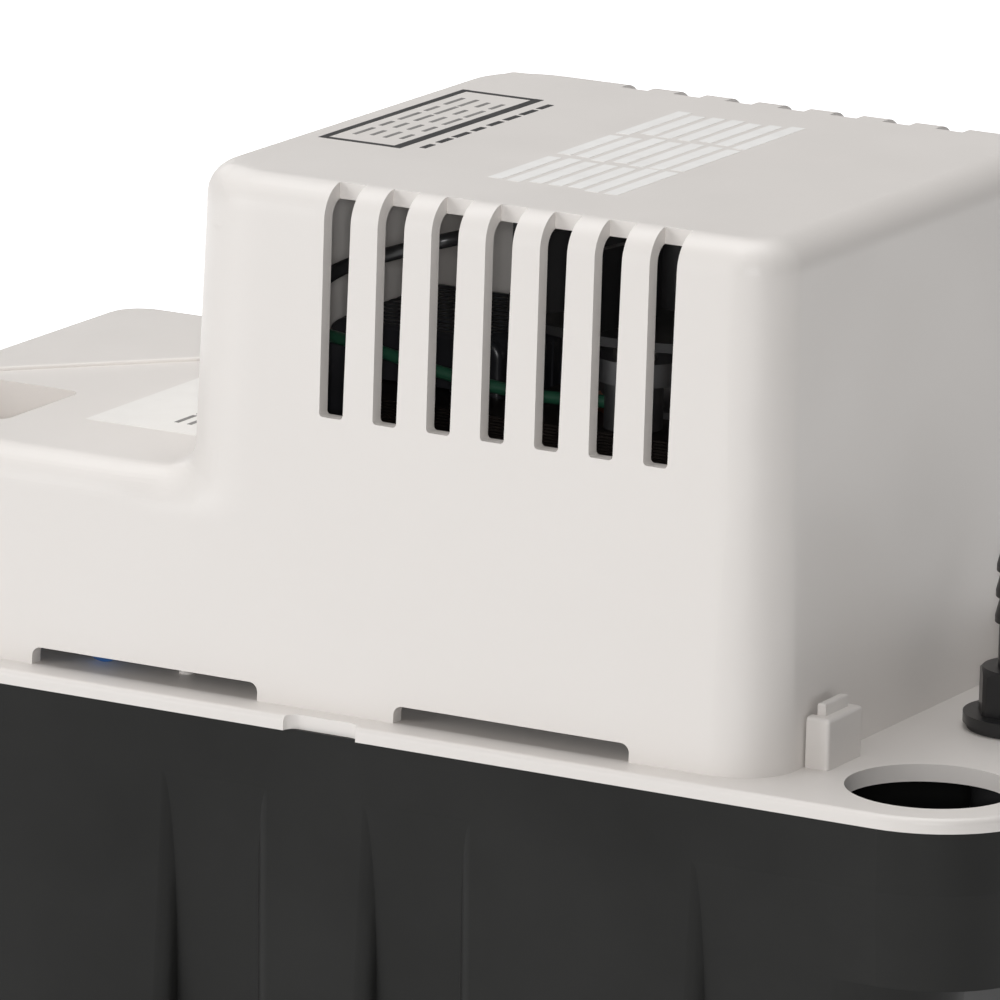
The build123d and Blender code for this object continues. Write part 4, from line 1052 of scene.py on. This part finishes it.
class PUMP_OT_screws(Operator):
    """Threaded machine screws in the place of the plain ones"""
    bl_idname = "pump.screws"
    bl_label = "Screws"

    def execute(self, context):
        screw = context.scene.pump_screws
        zinc = bare_metal("zinc_plate", (0.58, 0.58, 0.57), (0.44, 0.43, 0.40), 0.30, scale=120.0,
                          depth=0.000006)
        tree = make_screw_tree()
        shared = {"Pitch": screw.pitch, "Thread": screw.thread, "Recess Width": screw.recess,
                  "Recess Length": screw.reach, "Material": zinc}
        for node, head, up in (("motor_screws", 2.6, 1), ("bracket_screws", 1.8, 1),
                               ("column_screws", 1.8, -1), ("volute_screws", 1.8, -1)):
            boxes = loose_boxes(node)
            radius = (boxes[0][1].x - boxes[0][0].x) / 2
            tall = head * MM
            seats = []
            for low, high in boxes:
                middle = (low + high) / 2
                seats.append((middle.x, middle.y, high.z - tall if up > 0 else low.z + tall))
            rise = boxes[0][1].z - boxes[0][0].z
            own = {"Head Radius": radius, "Head Height": tall, "Shank Radius": radius * SHANK_SHARE,
                   "Shank Length": rise - tall, "Turn": (0.0 if up > 0 else pi, 0.0, 0.0)}
            grow(f"{node}_threaded", points_mesh(node, seats), tree, {**shared, **own}, "deck", [node])
        self.switch_screws(tree, shared, zinc)
        return {"FINISHED"}

    def switch_screws(self, tree, shared, zinc):
        """The two long screws through the switches, heads forwards, each with a nut behind."""
        head, nut = 1.8 * MM, 1.6 * MM
        front_seats = []
        nut_seats = []
        for low, high in loose_boxes("switch_screws"):
            middle = (low + high) / 2
            front_seats.append((middle.x, low.y + head, middle.z))
            nut_seats.append((middle.x, high.y - head + nut / 2, middle.z))
            reach = high.y - low.y - head
            radius = (high.z - low.z) / 2
        own = {"Head Radius": radius, "Head Height": head, "Shank Radius": radius * SHANK_SHARE,
               "Shank Length": reach, "Turn": (pi / 2, 0.0, 0.0)}
        grow("switch_screws_threaded", points_mesh("switch_screws", front_seats), tree, {**shared, **own},
             "deck", ["switch_screws"])
        grow("switch_nuts", points_mesh("switch_nuts", nut_seats), make_nuts_tree(),
             {"Radius": radius, "Height": nut, "Material": zinc}, "deck")


def make_nuts_tree():
    """A bevelled hexagon nut on every point, its axis along Y."""
    tree, given, result = geometry_tree("hexagon_nuts", {"Radius": 0.0026, "Height": 0.0016})
    radius, height = given["Radius"], given["Height"]
    bevel_foot, bevel_top = 1.9, 0.9
    nut = put(tree, "GeometryNodeMeshCylinder", {"Vertices": 6, "Side Segments": 1, "Radius": radius,
                                                 "Depth": height})
    bevel = put(tree, "GeometryNodeMeshCone", {
        "Vertices": 32, "Radius Bottom": calc(tree, "MULTIPLY", radius, bevel_foot),
        "Radius Top": calc(tree, "MULTIPLY", radius, bevel_top), "Depth": height})
    meet = put(tree, "GeometryNodeMeshBoolean", solver="EXACT", operation="INTERSECT")
    seated = moved(tree, bevel.outputs["Mesh"], xyz(tree, z=calc(tree, "MULTIPLY", height, -0.5)))
    for solid in (nut.outputs["Mesh"], seated):
        tree.links.new(solid, meet.inputs["Mesh 2"])
    copies = on_points(tree, given["Geometry"], meet.outputs["Mesh"], Rotation=(-pi / 2, 0.0, 0.0))
    return finish_tree(tree, given, result, copies)


class PUMP_OT_pump(Operator):
    """The column, the scroll and the pipe under the deck"""
    bl_idname = "pump.pump"
    bl_label = "Pump under the deck"

    def execute(self, context):
        coat(["pump_column", "pump_volute", "intake_plate", "discharge_tube"],
             moulded("pump_plastic", (0.028, 0.028, 0.030), (0.045, 0.045, 0.047), 0.45, 0.0005,
                     depth=0.000012, patches=40.0))
        return {"FINISHED"}


class PUMP_OT_discharge(Operator):
    """The discharge fitting and its check ball"""
    bl_idname = "pump.discharge"
    bl_label = "Discharge fitting"

    def execute(self, context):
        coat(["check_valve_body"],
             moulded("fitting_plastic", (0.011, 0.011, 0.012), (0.02, 0.02, 0.021), 0.34, 0.0004,
                     depth=0.000006, patches=60.0))
        coat(["check_ball"], moulded("ball_plastic", (0.72, 0.70, 0.66), (0.64, 0.62, 0.57), 0.22, 0.0003,
                                     depth=0.000002))
        return {"FINISHED"}


class PUMP_OT_float(Operator):
    """The float"""
    bl_idname = "pump.float"
    bl_label = "Float"

    def execute(self, context):
        coat(["float"], moulded("float_plastic", (0.66, 0.64, 0.57), (0.58, 0.55, 0.47), 0.40, 0.0005,
                                depth=0.00001))
        return {"FINISHED"}


class PUMP_OT_switches(Operator):
    """The lever, its bracket and the two snap switches"""
    bl_idname = "pump.switches"
    bl_label = "Switches"

    def execute(self, context):
        coat(["switch_lever", "switch_bracket"],
             bare_metal("plated_strip", (0.55, 0.55, 0.53), (0.42, 0.41, 0.38), 0.30,
                        stretch=(1.0, 25.0, 25.0), scale=80.0, depth=0.000008))
        coat(["run_switch", "safety_switch"],
             moulded("switch_plastic", (0.016, 0.016, 0.017), (0.03, 0.03, 0.031), 0.30, 0.0003,
                     depth=0.000004, patches=120.0))
        coat(["run_plunger", "safety_plunger"],
             moulded("plunger_plastic", (0.45, 0.04, 0.03), (0.36, 0.03, 0.025), 0.30, 0.0003,
                     depth=0.000003))
        coat(["switch_terminals"], bare_metal("tinned_brass", (0.66, 0.60, 0.44), (0.52, 0.43, 0.26), 0.26,
                                              stretch=(25.0, 1.0, 25.0), scale=90.0))
        return {"FINISHED"}


def make_grips_tree():
    """A ring of raised grip ribs round a connector that lies along Y, on every point."""
    tree, given, result = geometry_tree("grip_ribs", {
        "Radius": 0.0042, "Ribs": 16, "Length": 0.010, "Width": 0.0007, "Height": 0.0005})
    ring = put(tree, "GeometryNodeMeshCircle", {"Vertices": given["Ribs"], "Radius": given["Radius"]})
    size = xyz(tree, given["Height"], given["Width"], given["Length"])
    rib = put(tree, "GeometryNodeMeshCube", {"Size": size}).outputs["Mesh"]
    facing = put(tree, "FunctionNodeAlignEulerToVector", {"Vector": position(tree)}, axis="X").outputs[0]
    ribs = on_points(tree, ring.outputs["Mesh"], rib, Rotation=facing)
    laid = put(tree, "GeometryNodeTransform", {"Geometry": ribs, "Rotation": (pi / 2, 0.0, 0.0)}).outputs[0]
    return finish_tree(tree, given, result, on_points(tree, given["Geometry"], laid))


class PUMP_OT_wiring(Operator):
    """The leads and their connectors"""
    bl_idname = "pump.wiring"
    bl_label = "Wiring"

    def execute(self, context):
        nylon = moulded("blue_nylon", (0.02, 0.16, 0.50), (0.03, 0.20, 0.58), 0.30, 0.0005, depth=0.00001,
                        patches=120.0)
        coat(["wire_connectors"], nylon)
        from_mouth, sunk = 7.0 * MM, 0.1 * MM
        middles = []
        for low, high in loose_boxes("wire_connectors"):
            radius = (high.x - low.x) / 2
            middles.append(((low.x + high.x) / 2, high.y - from_mouth, high.z - radius))
        grow("connector_grips", points_mesh("connector_grips", middles), make_grips_tree(),
             {"Radius": radius - sunk, "Material": nylon}, "deck")
        for name, colour, second, roughness in (
                ("black", (0.012, 0.012, 0.013), (0.022, 0.022, 0.023), 0.30),
                ("green", (0.013, 0.07, 0.040), (0.02, 0.09, 0.05), 0.32),
                ("white", (0.70, 0.69, 0.66), (0.62, 0.60, 0.56), 0.34)):
            coat([f"lead_{name}"], moulded(f"{name}_sleeve", colour, second, roughness, 0.0005,
                                           depth=0.000006, patches=150.0))
        return {"FINISHED"}


class PUMP_PT_sidebar(Panel):
    """One button for each group of pieces"""
    bl_idname = "PUMP_PT_sidebar"
    bl_label = "Condensate pump"
    bl_space_type = "VIEW_3D"
    bl_region_type = "UI"
    bl_category = "Pump"

    def draw(self, context):
        for operator in OPERATORS:
            self.layout.operator(operator.bl_idname)


OPERATORS = (PUMP_OT_stage, PUMP_OT_shell, PUMP_OT_prints, PUMP_OT_tank, PUMP_OT_stator, PUMP_OT_coil,
             PUMP_OT_rotor, PUMP_OT_brackets, PUMP_OT_screws, PUMP_OT_pump, PUMP_OT_discharge,
             PUMP_OT_float, PUMP_OT_switches, PUMP_OT_wiring)
SETTINGS = {"pump_shell": ShellSettings, "pump_tank": TankSettings, "pump_motor": MotorSettings,
            "pump_screws": ScrewSettings, "pump_print": PrintSettings, "pump_studio": StudioSettings}


def register():
    for kind in (*SETTINGS.values(), *OPERATORS, PUMP_PT_sidebar):
        bpy.utils.register_class(kind)
    for name, kind in SETTINGS.items():
        setattr(bpy.types.Scene, name, PointerProperty(type=kind))


def unregister():
    for name in SETTINGS:
        delattr(bpy.types.Scene, name)
    for kind in (PUMP_PT_sidebar, *reversed(OPERATORS), *SETTINGS.values()):
        bpy.utils.unregister_class(kind)


def main():
    register()
    for operator in OPERATORS:
        area, action = operator.bl_idname.split(".")
        getattr(getattr(bpy.ops, area), action)()


if __name__ == "__main__":
    main()
